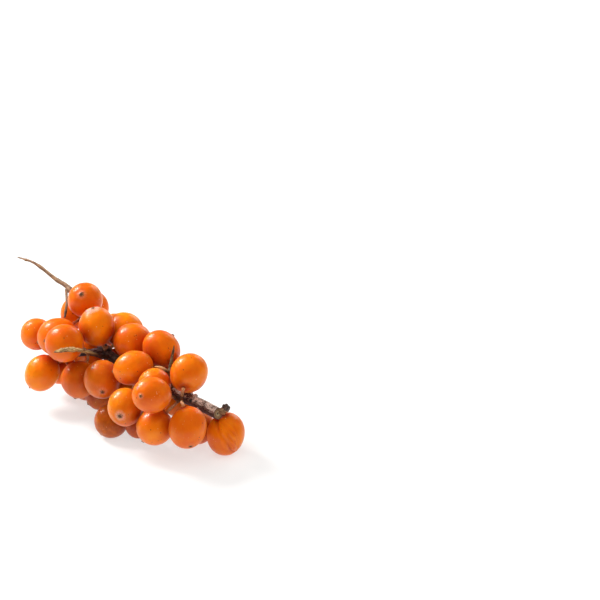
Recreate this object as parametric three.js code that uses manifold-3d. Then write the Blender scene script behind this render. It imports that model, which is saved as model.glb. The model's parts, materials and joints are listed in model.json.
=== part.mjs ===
// Sea buckthorn sprig, cut and lying on a level surface.
//
// A short length of old wood, cut square at one end and running out into a
// thin thorny twig at the other, carries a dense sleeve of 38 berries. Each
// berry has its own thin stalk. Stalks that spring from the same bud scar
// grow out of one small cushion on the bark, so they are one piece.
//
// Units are millimetres, +Z is up and z = 0 is the surface the sprig lies on.
// The origin is under the middle of the sprig. The cut end is at +X and the
// free twig end is at -X.

import * as THREE from 'three';
import { mergeVertices } from 'three/addons/utils/BufferGeometryUtils.js';
import Module from 'manifold-3d';

const wasm = await Module();
wasm.setup();

// ---------------------------------------------------------------- dimensions

const ORIGIN = [-2.323, -1.699, 0];   // middle of the sprig in the table frame below

const BARK_GAP = 0.12;            // clearance between a side shoot or stalk and the bark
const STALK_RADIUS = 0.33;        // middle of a berry stalk
const STALK_FOOT = 0.50;          // where it leaves the bark
const STALK_TOP = 0.40;           // flared collar under the berry
const STALK_STEP = 1.05;          // spacing of the rings along a stalk
const CUSHION_RADIUS = 0.52;      // cushion that joins stalks of one bud scar
const BERRY_SIDES = 12;           // facets round a berry
const SEAT_HEIGHT = 0.2;          // flat that a resting berry makes on the surface

// Profile of a berry of radius 1, from the stalk end to the dry calyx tip:
// [distance from axis, height along axis].
const BERRY_PROFILE = [
  [0, -0.955], [0.32, -0.945], [0.70, -0.713], [0.94, -0.342], [1, 0.035],
  [0.91, 0.414], [0.66, 0.751], [0.30, 0.953], [0.07, 1.034], [0, 1.034],
];

// Berries, from the cut end to the twig end: name, centre, half sizes along
// its own three axes, turn of those axes in degrees (XYZ), direction of the
// calyx tip, direction of the stalk.
const BERRIES = [
  ['berry_01', [31.17, 4.62, 4.75], [4.35, 5.03, 4.06], [-128.5, -43.1, -14.8], [0.42, 0.30, -0.86], [-0.12, -0.02, 0.99]],
  ['berry_02', [30.04, -5.53, 9.33], [4.31, 4.85, 3.93], [-128.3, -44.7, -11.7], [0.66, -0.36, -0.66], [-0.38, 0.09, 0.92]],
  ['berry_03', [23.12, 2.96, 3.96], [4.04, 4.10, 3.78], [-128.4, -44.3, -14.8], [-0.44, 0.35, -0.83], [0.29, -0.20, 0.94]],
  ['berry_04', [23.06, 0.87, 18.23], [4.29, 4.68, 4.07], [-125.9, -45.3, 3.4], [-0.48, 0.76, 0.43], [0.48, -0.76, -0.43]],
  ['berry_05', [23.00, -9.89, 16.27], [4.51, 4.13, 3.84], [-128.5, -44.7, -27.7], [0.18, -0.93, 0.31], [-0.18, 0.93, -0.31]],
  ['berry_06', [22.11, -8.55, 7.48], [4.25, 4.22, 3.92], [-129.7, -43.3, -42.8], [-0.23, -0.65, -0.72], [0.23, 0.65, 0.72]],
  ['berry_07', [17.65, -4.78, 15.18], [3.78, 3.87, 3.52], [-128.2, -44.8, -27.5], [0.42, -0.90, 0.11], [-0.62, 0.76, -0.18]],
  ['berry_08', [17.13, 5.06, 15.41], [3.45, 3.45, 3.45], [-0.0, 0.0, 0.0], [0.14, 0.93, 0.34], [-0.14, -0.93, -0.34]],
  ['berry_09', [16.46, 2.89, 8.37], [3.88, 3.88, 3.61], [-128.3, -44.1, -27.5], [0.42, 0.62, -0.66], [-0.42, -0.62, 0.66]],
  ['berry_10', [14.58, -10.88, 10.47], [4.10, 4.46, 3.81], [-129.2, -45.1, -28.3], [0.54, -0.83, -0.11], [-0.41, 0.87, 0.28]],
  ['berry_11', [13.95, -6.85, 4.60], [3.13, 3.41, 2.92], [-129.5, -44.7, -28.4], [-0.13, -0.43, -0.89], [0.13, 0.43, 0.89]],
  ['berry_12', [11.55, -0.62, 3.54], [3.61, 3.61, 3.61], [-0.0, 0.0, 0.0], [0.63, -0.10, -0.77], [-0.23, 0.03, 0.97]],
  ['berry_13', [10.12, -4.83, 16.69], [4.76, 3.92, 3.65], [-128.0, -45.3, -47.4], [-0.57, -0.81, -0.13], [0.56, 0.75, -0.35]],
  ['berry_14', [9.94, 3.60, 18.77], [4.69, 4.15, 3.90], [-124.0, -45.9, 17.7], [0.15, 0.73, 0.66], [-0.19, -0.72, -0.67]],
  ['berry_15', [9.47, 4.96, 10.78], [3.75, 3.75, 3.75], [-0.0, 0.0, 0.0], [0.21, 0.95, -0.24], [-0.21, -0.95, 0.24]],
  ['berry_16', [7.52, -9.61, 3.92], [3.97, 4.06, 3.69], [-129.8, -45.2, -28.7], [-0.25, -0.55, -0.80], [0.20, 0.54, 0.82]],
  ['berry_17', [3.33, -8.56, 12.60], [4.34, 4.54, 4.03], [-128.8, -45.8, -28.0], [0.74, -0.59, -0.32], [-0.45, 0.89, 0.06]],
  ['berry_18', [3.08, -1.66, 8.30], [3.85, 3.85, 3.85], [-0.0, 0.0, 0.0], [0.65, 0.07, -0.76], [-0.65, -0.07, 0.76]],
  ['berry_19', [1.86, 5.72, 10.75], [3.81, 3.81, 3.81], [-0.0, 0.0, 0.0], [0.29, 0.89, -0.35], [-0.29, -0.89, 0.35]],
  ['berry_20', [1.28, 2.15, 18.10], [4.61, 4.31, 4.01], [-127.5, -45.4, -30.6], [-0.55, 0.53, 0.64], [0.55, -0.53, -0.64]],
  ['berry_21', [-0.81, 3.38, 3.68], [3.75, 3.75, 3.75], [-0.0, 0.0, 0.0], [0.15, 0.61, -0.78], [-0.15, -0.40, 0.90]],
  ['berry_22', [-4.10, -3.47, 4.30], [3.77, 3.77, 3.51], [-129.2, -45.7, -28.3], [-0.29, -0.82, -0.49], [0.23, 0.42, 0.88]],
  ['berry_23', [-4.60, -9.18, 9.86], [4.38, 4.43, 4.08], [-129.1, -46.3, -28.2], [0.16, -0.43, -0.89], [-0.26, 0.70, 0.67]],
  ['berry_24', [-6.22, 5.57, 17.22], [4.65, 4.34, 4.11], [-126.3, -46.2, -16.9], [-0.23, 0.87, 0.44], [0.23, -0.87, -0.44]],
  ['berry_25', [-6.33, -2.33, 20.59], [4.27, 4.69, 3.97], [-127.4, -46.5, -27.0], [-0.19, -0.05, 0.98], [0.24, 0.15, -0.96]],
  ['berry_26', [-6.37, -11.70, 19.28], [4.58, 4.47, 4.15], [-128.3, -46.9, -27.7], [-0.64, -0.75, 0.17], [0.16, 0.88, -0.45]],
  ['berry_27', [-6.56, 3.85, 9.08], [3.80, 3.80, 3.80], [-0.0, 0.0, 0.0], [0.09, 0.71, -0.70], [-0.09, -0.71, 0.70]],
  ['berry_28', [-11.39, -1.97, 3.73], [3.80, 3.80, 3.80], [-0.0, 0.0, 0.0], [0.34, 0.53, -0.77], [-0.34, -0.53, 0.77]],
  ['berry_29', [-13.37, 0.32, 11.19], [4.11, 4.11, 3.82], [-128.2, -46.4, -27.5], [0.23, -0.04, -0.97], [-0.23, 0.04, 0.97]],
  ['berry_30', [-13.46, 8.24, 13.80], [4.20, 4.20, 4.20], [-0.0, 0.0, 0.0], [-0.19, 0.93, -0.31], [0.19, -0.93, 0.31]],
  ['berry_31', [-13.75, -8.00, 17.16], [4.97, 4.57, 4.25], [-128.2, -47.1, -27.6], [-0.50, -0.85, -0.19], [0.75, 0.53, -0.40]],
  ['berry_32', [-15.11, 1.24, 23.32], [4.18, 4.21, 3.89], [-126.8, -47.0, -26.5], [0.41, -0.59, 0.70], [-0.53, 0.39, -0.75]],
  ['berry_33', [-15.24, -11.95, 8.64], [3.99, 4.56, 3.86], [-125.0, -48.6, 7.5], [-0.20, -0.69, -0.69], [0.25, 0.79, 0.55]],
  ['berry_34', [-18.13, -4.59, 6.67], [3.94, 4.04, 3.71], [-127.4, -47.6, -12.6], [-0.57, 0.42, -0.70], [0.57, -0.42, 0.70]],
  ['berry_35', [-21.81, -8.30, 15.19], [3.89, 3.86, 3.54], [-129.7, -46.9, -39.0], [-0.91, -0.17, 0.38], [0.91, 0.17, -0.38]],
  ['berry_36', [-22.42, 3.38, 16.80], [3.39, 3.99, 3.15], [-127.3, -47.1, -26.9], [-0.85, 0.09, -0.52], [0.85, -0.09, 0.52]],
  ['berry_37', [-23.16, -1.97, 11.78], [3.54, 3.54, 3.54], [-0.0, 0.0, 0.0], [-0.71, -0.11, -0.70], [0.71, 0.11, 0.70]],
  ['berry_38', [-23.64, 10.13, 15.75], [3.71, 4.14, 3.45], [-126.9, -46.7, -26.6], [-0.37, 0.59, -0.71], [0.37, -0.59, 0.71]],
];

// Berries whose underside is pressed flat by the surface.
const RESTING = ['berry_16', 'berry_01', 'berry_03', 'berry_28', 'berry_21', 'berry_12'];

// Stalks: cushion name, then for each berry on it the line from the bark to
// the berry, then the lines of the cushion that joins their feet.
const STALKS = [
  ['stalks_01', [
    ['berry_01', [[30.58, 3.78, 10.41], [30.55, 4.08, 10.34], [30.55, 4.28, 10.20], [30.58, 4.41, 9.96], [30.60, 4.51, 9.56]]],
  ], [
  ]],
  ['stalks_02', [
    ['berry_03', [[24.74, 1.23, 10.68], [24.67, 1.42, 10.10], [24.63, 1.61, 9.49], [24.57, 1.80, 8.88], [24.47, 1.98, 8.27], [24.28, 2.15, 7.69]]],
  ], [
  ]],
  ['stalks_03', [
    ['berry_04', [[22.64, -0.69, 12.95], [23.11, -1.23, 13.37], [23.69, -1.78, 13.84], [24.28, -2.26, 14.39], [24.80, -2.61, 14.99], [25.20, -2.82, 15.58], [25.39, -2.83, 16.06], [25.23, -2.56, 16.30]]],
    ['berry_02', [[22.72, -0.85, 11.80], [23.20, -1.43, 11.97], [23.83, -2.02, 12.28], [24.55, -2.62, 12.67], [25.31, -3.22, 13.07], [26.07, -3.79, 13.47], [26.80, -4.31, 13.81], [27.45, -4.74, 14.03], [27.96, -5.04, 14.05], [28.23, -5.11, 13.74]]],
  ], [
    [[22.67, -0.78, 13.02], [22.73, -0.98, 12.63], [22.75, -1.04, 12.20], [22.74, -0.96, 11.76]],
  ]],
  ['stalks_04', [
    ['berry_05', [[20.62, -1.19, 12.01], [20.77, -1.74, 12.18], [20.95, -2.31, 12.51], [21.15, -2.89, 12.92], [21.36, -3.48, 13.38], [21.57, -4.08, 13.85], [21.78, -4.70, 14.30], [22.00, -5.35, 14.71], [22.24, -6.03, 15.01]]],
    ['berry_06', [[21.34, -0.72, 11.46], [21.55, -1.31, 11.27], [21.83, -1.99, 11.18], [22.14, -2.72, 11.14], [22.46, -3.46, 11.12], [22.76, -4.17, 11.09], [23.00, -4.83, 11.02], [23.14, -5.38, 10.87], [23.09, -5.73, 10.59]]],
  ], [
    [[20.63, -1.30, 11.96], [20.88, -1.16, 11.75], [21.12, -0.99, 11.54], [21.35, -0.79, 11.36]],
  ]],
  ['stalks_05', [
    ['berry_08', [[16.57, 0.32, 13.16], [16.55, 0.70, 13.44], [16.55, 1.05, 13.74], [16.57, 1.40, 14.01], [16.62, 1.79, 14.20]]],
  ], [
  ]],
  ['stalks_06', [
    ['berry_11', [[14.49, -1.56, 12.03], [14.52, -2.01, 11.54], [14.55, -2.52, 11.02], [14.58, -3.05, 10.49], [14.60, -3.59, 9.95], [14.61, -4.12, 9.39], [14.59, -4.61, 8.83], [14.53, -5.05, 8.24], [14.40, -5.38, 7.62]]],
    ['berry_09', [[14.57, -0.37, 11.99], [14.56, -0.18, 11.70], [14.58, -0.02, 11.46], [14.65, 0.17, 11.22], [14.80, 0.44, 10.94]]],
    ['berry_07', [[14.95, -1.30, 13.90], [14.98, -1.42, 14.15], [15.04, -1.54, 14.31], [15.16, -1.71, 14.42], [15.41, -2.01, 14.52]]],
  ], [
    [[14.49, -1.63, 11.94], [14.51, -1.20, 11.75], [14.53, -0.74, 11.73], [14.56, -0.30, 11.89]],
    [[14.56, -0.30, 11.89], [14.62, 0.27, 12.87], [14.79, -0.23, 13.88], [14.96, -1.35, 14.01]],
  ]],
  ['stalks_07', [
    ['berry_10', [[12.46, -2.14, 12.96], [12.44, -2.82, 12.80], [12.41, -3.56, 12.61], [12.39, -4.33, 12.39], [12.39, -5.10, 12.16], [12.45, -5.87, 11.95], [12.58, -6.60, 11.77], [12.86, -7.27, 11.64]]],
    ['berry_12', [[10.53, -0.79, 12.14], [10.50, -0.68, 11.50], [10.48, -0.61, 10.80], [10.45, -0.56, 10.07], [10.45, -0.53, 9.33], [10.47, -0.51, 8.58], [10.54, -0.51, 7.84], [10.69, -0.52, 7.12]]],
    ['berry_13', [[12.96, -1.03, 14.06], [12.96, -1.04, 14.39], [12.92, -1.10, 14.66], [12.82, -1.24, 14.89], [12.62, -1.51, 15.12]]],
  ], [
    [[12.46, -2.26, 12.95], [11.81, -2.01, 12.31], [11.15, -1.43, 11.96], [10.50, -0.74, 12.03]],
    [[10.53, -0.74, 12.03], [11.32, -0.01, 12.74], [12.13, -0.15, 13.72], [12.95, -1.02, 14.18]],
  ]],
  ['stalks_08', [
    ['berry_14', [[8.99, -0.81, 14.11], [8.99, -0.52, 14.61], [9.01, -0.19, 15.09], [9.06, 0.17, 15.54], [9.15, 0.58, 15.94]]],
    ['berry_16', [[8.51, -1.93, 12.45], [8.53, -2.48, 11.97], [8.56, -3.10, 11.45], [8.59, -3.76, 10.91], [8.62, -4.43, 10.35], [8.64, -5.10, 9.77], [8.64, -5.76, 9.18], [8.61, -6.38, 8.57], [8.52, -6.95, 7.94], [8.35, -7.41, 7.27]]],
  ], [
    [[8.99, -0.76, 14.22], [8.84, -1.76, 14.15], [8.68, -2.32, 13.32], [8.51, -2.01, 12.37]],
  ]],
  ['stalks_09', [
    ['berry_15', [[8.51, -0.25, 12.74], [8.52, 0.16, 12.42], [8.55, 0.54, 12.11], [8.60, 0.92, 11.84], [8.68, 1.33, 11.69]]],
  ], [
  ]],
  ['stalks_10', [
    ['berry_20', [[3.98, -0.77, 14.16], [3.99, -0.65, 14.50], [3.97, -0.53, 14.78], [3.88, -0.38, 15.04], [3.66, -0.16, 15.31]]],
  ], [
  ]],
  ['stalks_11', [
    ['berry_18', [[0.06, -1.55, 12.50], [0.07, -1.75, 12.18], [0.14, -1.88, 11.89], [0.28, -1.95, 11.60], [0.54, -1.94, 11.27]]],
    ['berry_19', [[0.48, -0.12, 12.77], [0.49, 0.46, 12.60], [0.52, 1.07, 12.45], [0.59, 1.68, 12.30], [0.74, 2.26, 12.10]]],
    ['berry_17', [[1.03, -1.97, 13.03], [1.00, -2.67, 12.94], [1.01, -3.42, 12.87], [1.12, -4.14, 12.84], [1.40, -4.79, 12.84]]],
  ], [
    [[0.05, -1.62, 12.41], [0.18, -1.05, 12.19], [0.32, -0.46, 12.30], [0.48, -0.02, 12.71]],
    [[0.49, -0.02, 12.71], [0.65, -0.71, 12.20], [0.82, -1.57, 12.32], [1.02, -2.09, 13.00]],
  ]],
  ['stalks_12', [
    ['berry_22', [[-2.91, -1.18, 12.63], [-2.92, -1.28, 11.97], [-2.92, -1.34, 11.25], [-2.92, -1.38, 10.50], [-2.93, -1.42, 9.74], [-2.96, -1.50, 8.99], [-3.04, -1.63, 8.28], [-3.20, -1.87, 7.64]]],
    ['berry_21', [[-1.47, -0.37, 12.54], [-1.49, -0.10, 11.94], [-1.51, 0.17, 11.29], [-1.52, 0.44, 10.61], [-1.53, 0.71, 9.92], [-1.53, 0.98, 9.22], [-1.52, 1.26, 8.52], [-1.47, 1.54, 7.82], [-1.38, 1.84, 7.13]]],
  ], [
    [[-2.92, -1.23, 12.52], [-2.46, -0.92, 12.39], [-1.99, -0.60, 12.36], [-1.51, -0.31, 12.44]],
  ]],
  ['stalks_13', [
    ['berry_25', [[-5.10, -1.07, 14.76], [-5.08, -1.25, 15.10], [-5.09, -1.39, 15.41], [-5.12, -1.50, 15.75], [-5.20, -1.61, 16.15]]],
    ['berry_24', [[-5.23, 0.29, 14.50], [-5.13, 0.67, 14.71], [-5.08, 1.02, 14.90], [-5.09, 1.38, 15.09], [-5.20, 1.75, 15.28]]],
    ['berry_27', [[-6.82, 0.11, 13.60], [-6.89, 0.33, 13.10], [-6.94, 0.55, 12.61], [-6.95, 0.79, 12.16], [-6.92, 1.11, 11.79]]],
  ], [
    [[-5.08, -1.14, 14.86], [-5.07, -0.59, 15.04], [-5.13, -0.03, 14.93], [-5.26, 0.40, 14.57]],
    [[-5.20, 0.39, 14.55], [-5.71, 0.61, 14.13], [-6.26, 0.52, 13.73], [-6.80, 0.16, 13.48]],
  ]],
  ['stalks_14', [
    ['berry_23', [[-7.08, -4.49, 14.06], [-6.68, -4.87, 13.83], [-6.30, -5.26, 13.54], [-5.99, -5.66, 13.21], [-5.78, -6.08, 12.84]]],
    ['berry_26', [[-7.33, -4.59, 14.51], [-6.96, -5.03, 14.96], [-6.56, -5.52, 15.46], [-6.18, -6.03, 15.97], [-5.86, -6.57, 16.46], [-5.66, -7.13, 16.91], [-5.64, -7.74, 17.27]]],
    ['berry_31', [[-9.19, -5.09, 14.21], [-9.35, -5.08, 14.53], [-9.51, -5.11, 14.77], [-9.72, -5.20, 14.99], [-10.04, -5.39, 15.19]]],
  ], [
    [[-6.99, -4.57, 14.04], [-7.04, -4.64, 14.23], [-7.14, -4.68, 14.42], [-7.27, -4.67, 14.58]],
    [[-7.27, -4.67, 14.58], [-7.91, -4.84, 14.61], [-8.57, -4.95, 14.53], [-9.22, -5.05, 14.32]],
  ]],
  ['stalks_15', [
    ['berry_29', [[-14.18, 0.80, 16.58], [-14.31, 0.66, 16.26], [-14.39, 0.56, 15.97], [-14.41, 0.49, 15.65], [-14.34, 0.47, 15.24]]],
  ], [
  ]],
  ['stalks_16', [
    ['berry_36', [[-18.92, 2.66, 19.18], [-18.99, 2.84, 18.99], [-19.10, 2.94, 18.85], [-19.29, 3.00, 18.71], [-19.63, 3.07, 18.51]]],
    ['berry_32', [[-17.80, 2.50, 19.56], [-17.68, 2.75, 19.70], [-17.58, 2.91, 19.83], [-17.46, 2.94, 20.00], [-17.23, 2.80, 20.29]]],
    ['berry_30', [[-12.59, 1.66, 16.60], [-12.54, 2.27, 16.24], [-12.52, 2.90, 15.82], [-12.54, 3.57, 15.43], [-12.66, 4.27, 15.14]]],
    ['berry_37', [[-17.15, 1.36, 17.98], [-17.50, 0.97, 17.54], [-17.89, 0.54, 17.09], [-18.31, 0.08, 16.64], [-18.74, -0.37, 16.19], [-19.19, -0.80, 15.72], [-19.65, -1.18, 15.26], [-20.12, -1.46, 14.79], [-20.60, -1.59, 14.31]]],
  ], [
    [[-18.94, 2.76, 19.10], [-18.51, 2.86, 19.24], [-18.09, 2.81, 19.43], [-17.72, 2.58, 19.60]],
    [[-17.75, 2.59, 19.62], [-15.99, 2.38, 18.64], [-14.27, 2.12, 17.62], [-12.58, 1.78, 16.57]],
    [[-12.57, 1.78, 16.57], [-14.18, 1.76, 16.71], [-15.72, 1.53, 17.12], [-17.14, 1.29, 17.86]],
  ]],
  ['stalks_17', [
    ['berry_38', [[-20.56, 3.23, 20.61], [-20.61, 3.86, 20.47], [-20.72, 4.52, 20.32], [-20.87, 5.19, 20.13], [-21.09, 5.82, 19.87], [-21.35, 6.41, 19.55], [-21.65, 6.98, 19.18], [-21.97, 7.50, 18.78], [-22.30, 7.98, 18.32]]],
  ], [
  ]],
];

// Stalks that sit at the end of the left spur and are part of it.
const SPUR_STALKS = [
  ['berry_33', [[-14.16, -7.17, 11.43], [-14.06, -7.47, 11.44], [-13.99, -7.72, 11.43], [-14.00, -7.98, 11.36], [-14.10, -8.32, 11.17]]],
  ['berry_34', [[-14.22, -6.50, 11.09], [-14.56, -6.44, 10.65], [-15.03, -6.44, 10.21], [-15.52, -6.39, 9.78], [-15.94, -6.18, 9.36]]],
  ['berry_35', [[-14.47, -6.69, 11.81], [-14.88, -6.77, 12.18], [-15.38, -6.90, 12.49], [-15.91, -7.06, 12.77], [-16.48, -7.24, 13.02], [-17.06, -7.41, 13.27], [-17.66, -7.55, 13.50], [-18.27, -7.65, 13.73]]],
  ['berry_28', [[-13.80, -6.60, 11.17], [-13.65, -6.35, 10.57], [-13.53, -6.03, 9.94], [-13.40, -5.67, 9.29], [-13.28, -5.28, 8.64], [-13.13, -4.87, 7.98], [-12.95, -4.45, 7.34], [-12.70, -4.04, 6.73]]],
];

// Woody shoots: x, y, z and radius at each point of the centre line.
const MAIN_STEM = [
  [30.92, 2.61, 10.39, 1.34],
  [22.31, 0.20, 12.25, 1.30],
  [11.46, -1.14, 13.08, 1.16],
  [-2.95, -0.77, 13.54, 1.10],
  [-10.39, 0.44, 15.94, 1.00],
  [-17.37, 1.82, 18.80, 0.84],
  [-23.58, 3.19, 22.57, 0.64],
  [-28.47, 2.53, 24.06, 0.46],
  [-34.70, 1.39, 26.32, 0.33],
  [-39.82, 0.16, 26.64, 0.16],
];
const LEFT_SPUR = [
  [-5.95, -1.37, 14.34, 0.75],
  [-8.29, -4.80, 13.95, 0.70],
  [-14.29, -6.76, 11.43, 0.55],
];
const LEFT_THORN = [
  [-2.96, -1.64, 13.73, 0.62],
  [-2.89, -3.14, 14.31, 0.60],
  [-2.36, -5.53, 15.72, 0.54],
  [-1.63, -8.62, 17.72, 0.50],
  [-1.15, -11.22, 19.17, 0.55],
  [-1.40, -13.01, 19.84, 0.60],
  [-2.23, -14.93, 20.06, 0.62],
  [-2.90, -16.41, 19.94, 0.38],
  [-3.26, -17.05, 19.82, 0.08],
];
const RIGHT_THORN = [
  [20.06, -0.92, 12.35, 0.62],
  [18.75, -0.39, 13.84, 0.55],
  [17.13, 0.39, 15.26, 0.50],
  [16.20, 1.00, 16.23, 0.50],
  [15.37, 2.15, 18.33, 0.42],
  [15.03, 3.02, 20.45, 0.26],
  [14.86, 3.42, 21.56, 0.05],
];
const RIGHT_TWIGLET = [
  [16.58, 0.74, 15.95, 0.38],
  [15.83, -0.48, 17.08, 0.34],
  [15.37, -1.55, 17.71, 0.28],
  [14.97, -2.43, 18.05, 0.12],
];
const FORK_TWIG = [
  [-24.92, 3.07, 22.17, 0.34],
  [-23.01, 1.68, 21.09, 0.30],
  [-21.47, 0.47, 20.16, 0.28],
  [-20.24, -0.81, 19.15, 0.34],
  [-19.27, -1.81, 18.49, 0.20],
];

// Swollen joints of the old wood: place along the stem (0 to 1), extra radius.
const STEM_JOINTS = [
  [0.045, 0.06], [0.105, 0.16], [0.19, 0.10], [0.26, 0.10], [0.33, 0.12],
  [0.40, 0.08], [0.49, 0.06], [0.57, 0.10], [0.665, 0.16], [0.76, 0.07],
  [0.86, 0.09], [0.94, 0.05],
];
const STEM_JOINT_WIDTH = 0.012;
const CUT_FACING = [0.988, 0.072, 0.132];   // the stem end is cut on the slant
const CUT_OVERRUN = 1.6;          // wood beyond the slanting cut before it is sawn
const PITH_RADIUS = 0.34;
const PITH_DEPTH = 0.18;

// Short side stub beside the slanting cut; it carries the dark end bud.
const SIDE_STUB = [
  [29.88, 3.37, 10.06, 0.80], [30.81, 3.65, 10.66, 0.74], [31.26, 4.10, 10.95, 0.80], [31.42, 4.38, 11.10, 0.84],
];

// Small growths that belong to the stem: the dark bud at the end of the side
// stub, a pruned snag, a bud scar, and two buds on the thin twig.
const STEM_GROWTHS = [
  [[31.31, 4.23, 11.06, 0.86], [31.41, 4.53, 11.34, 1.00], [31.38, 4.69, 11.63, 0.86], [31.29, 4.76, 11.87, 0.44]],
  [[24.49, 0.91, 12.35, 0.80], [24.66, 1.30, 12.88, 0.62], [24.76, 1.58, 13.15, 0.36]],
  [[24.00, 0.45, 11.74, 0.95], [24.73, -0.15, 12.18, 0.86], [24.99, -0.36, 12.35, 0.60]],
  [[-27.20, 2.79, 23.75, 0.42], [-27.44, 2.83, 24.04, 0.34], [-27.70, 2.85, 24.29, 0.14]],
  [[-37.32, 0.77, 26.58, 0.36], [-37.48, 0.67, 26.42, 0.28], [-37.71, 0.56, 26.28, 0.12]],
];

// ------------------------------------------------------------------ materials

const skin = (colour) => () => new THREE.MeshStandardMaterial({ color: colour, roughness: 0.34, metalness: 0 });
const bark = (colour, roughness) => () => new THREE.MeshStandardMaterial({ color: colour, roughness, metalness: 0 });

const BERRY_SKINS = [skin(0xe8661a), skin(0xee7a26), skin(0xd9551a)];   // ripe, paler, deeper
const OLD_BARK = bark(0x3a2620, 0.62);
const YOUNG_BARK = bark(0x8a6a4c, 0.7);
const PALE_BARK = bark(0xb08a5a, 0.7);
const OLIVE_BARK = bark(0x4c3a20, 0.66);
const STALK_SKIN = bark(0xc08c5c, 0.6);

// -------------------------------------------------------------------- helpers

const vec = (p) => new THREE.Vector3(p[0], p[1], p[2]);

// A closed solid from a three.js geometry.
function solid(geometry) {
  const g = geometry.clone();
  g.deleteAttribute('normal');
  g.deleteAttribute('uv');
  const merged = mergeVertices(g, 1e-5);
  const index = [];
  const src = merged.index.array;
  for (let i = 0; i < src.length; i += 3) {
    const [a, b, c] = [src[i], src[i + 1], src[i + 2]];
    if (a !== b && b !== c && c !== a) index.push(a, b, c);
  }
  if (signedVolume(merged.attributes.position, index) < 0) {
    for (let i = 0; i < index.length; i += 3) [index[i + 1], index[i + 2]] = [index[i + 2], index[i + 1]];
  }
  return new wasm.Manifold(new wasm.Mesh({
    numProp: 3,
    vertProperties: new Float32Array(merged.attributes.position.array),
    triVerts: new Uint32Array(index),
  }));
}

function signedVolume(position, index) {
  let v = 0;
  const [a, b, c] = [new THREE.Vector3(), new THREE.Vector3(), new THREE.Vector3()];
  for (let i = 0; i < index.length; i += 3) {
    a.fromBufferAttribute(position, index[i]);
    b.fromBufferAttribute(position, index[i + 1]);
    c.fromBufferAttribute(position, index[i + 2]);
    v += a.dot(b.cross(c)) / 6;
  }
  return v;
}

function geometryOf(manifold) {
  const mesh = manifold.getMesh();
  const n = mesh.numProp;
  const count = mesh.vertProperties.length / n;
  const xyz = new Float32Array(count * 3);
  for (let i = 0; i < count; i++) {
    for (let k = 0; k < 3; k++) xyz[i * 3 + k] = mesh.vertProperties[i * n + k];
  }
  const g = new THREE.BufferGeometry();
  g.setAttribute('position', new THREE.BufferAttribute(xyz, 3));
  g.setIndex(new THREE.BufferAttribute(new Uint32Array(mesh.triVerts), 1));
  g.computeVertexNormals();
  return g;
}

// A round rod turned on a lathe and then bent along a curve. Each row is
// [place along the curve, radius, distance past that place].
function bentRod(curve, rows, sides) {
  const rod = new THREE.LatheGeometry(rows.map(([, radius], i) => new THREE.Vector2(radius, i)), sides);
  let side = new THREE.Vector3(0, 0, 1);
  const frames = rows.map(([t, , past = 0]) => {
    const along = curve.getTangent(THREE.MathUtils.clamp(t, 0, 1)).normalize();
    side = side.clone().addScaledVector(along, -side.dot(along)).normalize();
    return { at: curve.getPoint(t).addScaledVector(along, past), side, other: along.clone().cross(side) };
  });
  const pos = rod.attributes.position;
  const p = new THREE.Vector3();
  for (let i = 0; i < pos.count; i++) {
    const f = frames[Math.round(pos.getY(i))];
    p.copy(f.at).addScaledVector(f.side, pos.getX(i)).addScaledVector(f.other, pos.getZ(i));
    pos.setXYZ(i, p.x, p.y, p.z);
  }
  return rod;
}

const lineOf = (points) => new THREE.CatmullRomCurve3(points.map(vec), false, 'catmullrom', 0.5);

// Radius along a shoot whose points carry a radius, straight between points.
function radiusAt(points, t) {
  const s = THREE.MathUtils.clamp(t, 0, 1) * (points.length - 1);
  const i = Math.min(Math.floor(s), points.length - 2);
  return THREE.MathUtils.lerp(points[i][3], points[i + 1][3], s - i);
}

// A shoot with a rounded tip and a plain foot; grow widens it all round.
function shoot(points, rings, sides, grow = 0) {
  const rows = [[0, 0, -grow]];
  for (let i = 0; i <= rings; i++) rows.push([i / rings, radiusAt(points, i / rings) + grow, i === 0 ? -grow : 0]);
  const end = radiusAt(points, 1) + grow;
  rows.push([1, end * 0.6, end * 0.7]);
  rows.push([1, 0, end * 0.95]);
  return solid(bentRod(lineOf(points), rows, sides));
}

// The old stem with its side stub, cut off on the slant at one end and
// running out into a thin pointed twig at the other.
function stem(grow = 0) {
  const rings = 40;
  const r0 = MAIN_STEM[0][3] + grow;
  const rows = [[0, 0, -CUT_OVERRUN], [0, r0, -CUT_OVERRUN]];
  for (let i = 1; i <= rings; i++) {
    const t = i / rings;
    let r = radiusAt(MAIN_STEM, t) + grow;
    for (const [place, extra] of STEM_JOINTS) r += extra * Math.exp(-(((t - place) / STEM_JOINT_WIDTH) ** 2));
    rows.push([t, r, 0]);
  }
  rows.push([1, 0, 0.22 + grow]);
  const facing = vec(CUT_FACING).normalize();
  return solid(bentRod(lineOf(MAIN_STEM), rows, 10))
    .trimByPlane(facing.clone().negate().toArray(), -(facing.dot(vec(MAIN_STEM[0])) + grow))
    .add(shoot(SIDE_STUB, 4, 8, grow));
}

// The soft heart of the wood, sunk a little below the cut face.
function pith() {
  const facing = vec(CUT_FACING).normalize();
  const centre = vec(MAIN_STEM[0]);
  const line = new THREE.LineCurve3(centre.clone().addScaledVector(facing, -PITH_DEPTH), centre.clone().addScaledVector(facing, PITH_DEPTH));
  return solid(bentRod(line, [[0, 0, 0], [0, PITH_RADIUS * 0.8, 0], [1, PITH_RADIUS * 1.2, 0], [1, 0, 0]], 10));
}

function stalk(points) {
  const curve = lineOf(points);
  const length = curve.getLength();
  const n = Math.max(3, Math.round(length / STALK_STEP));
  const rows = [[0, 0, 0], [0, STALK_FOOT, 0]];
  for (let i = 1; i < n; i++) rows.push([i / n, i === 1 && n > 3 ? STALK_RADIUS * 1.08 : STALK_RADIUS, 0]);
  rows.push([1, STALK_TOP, 0]);
  rows.push([1, 0, 0]);
  return solid(bentRod(curve, rows, 5));
}

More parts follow.
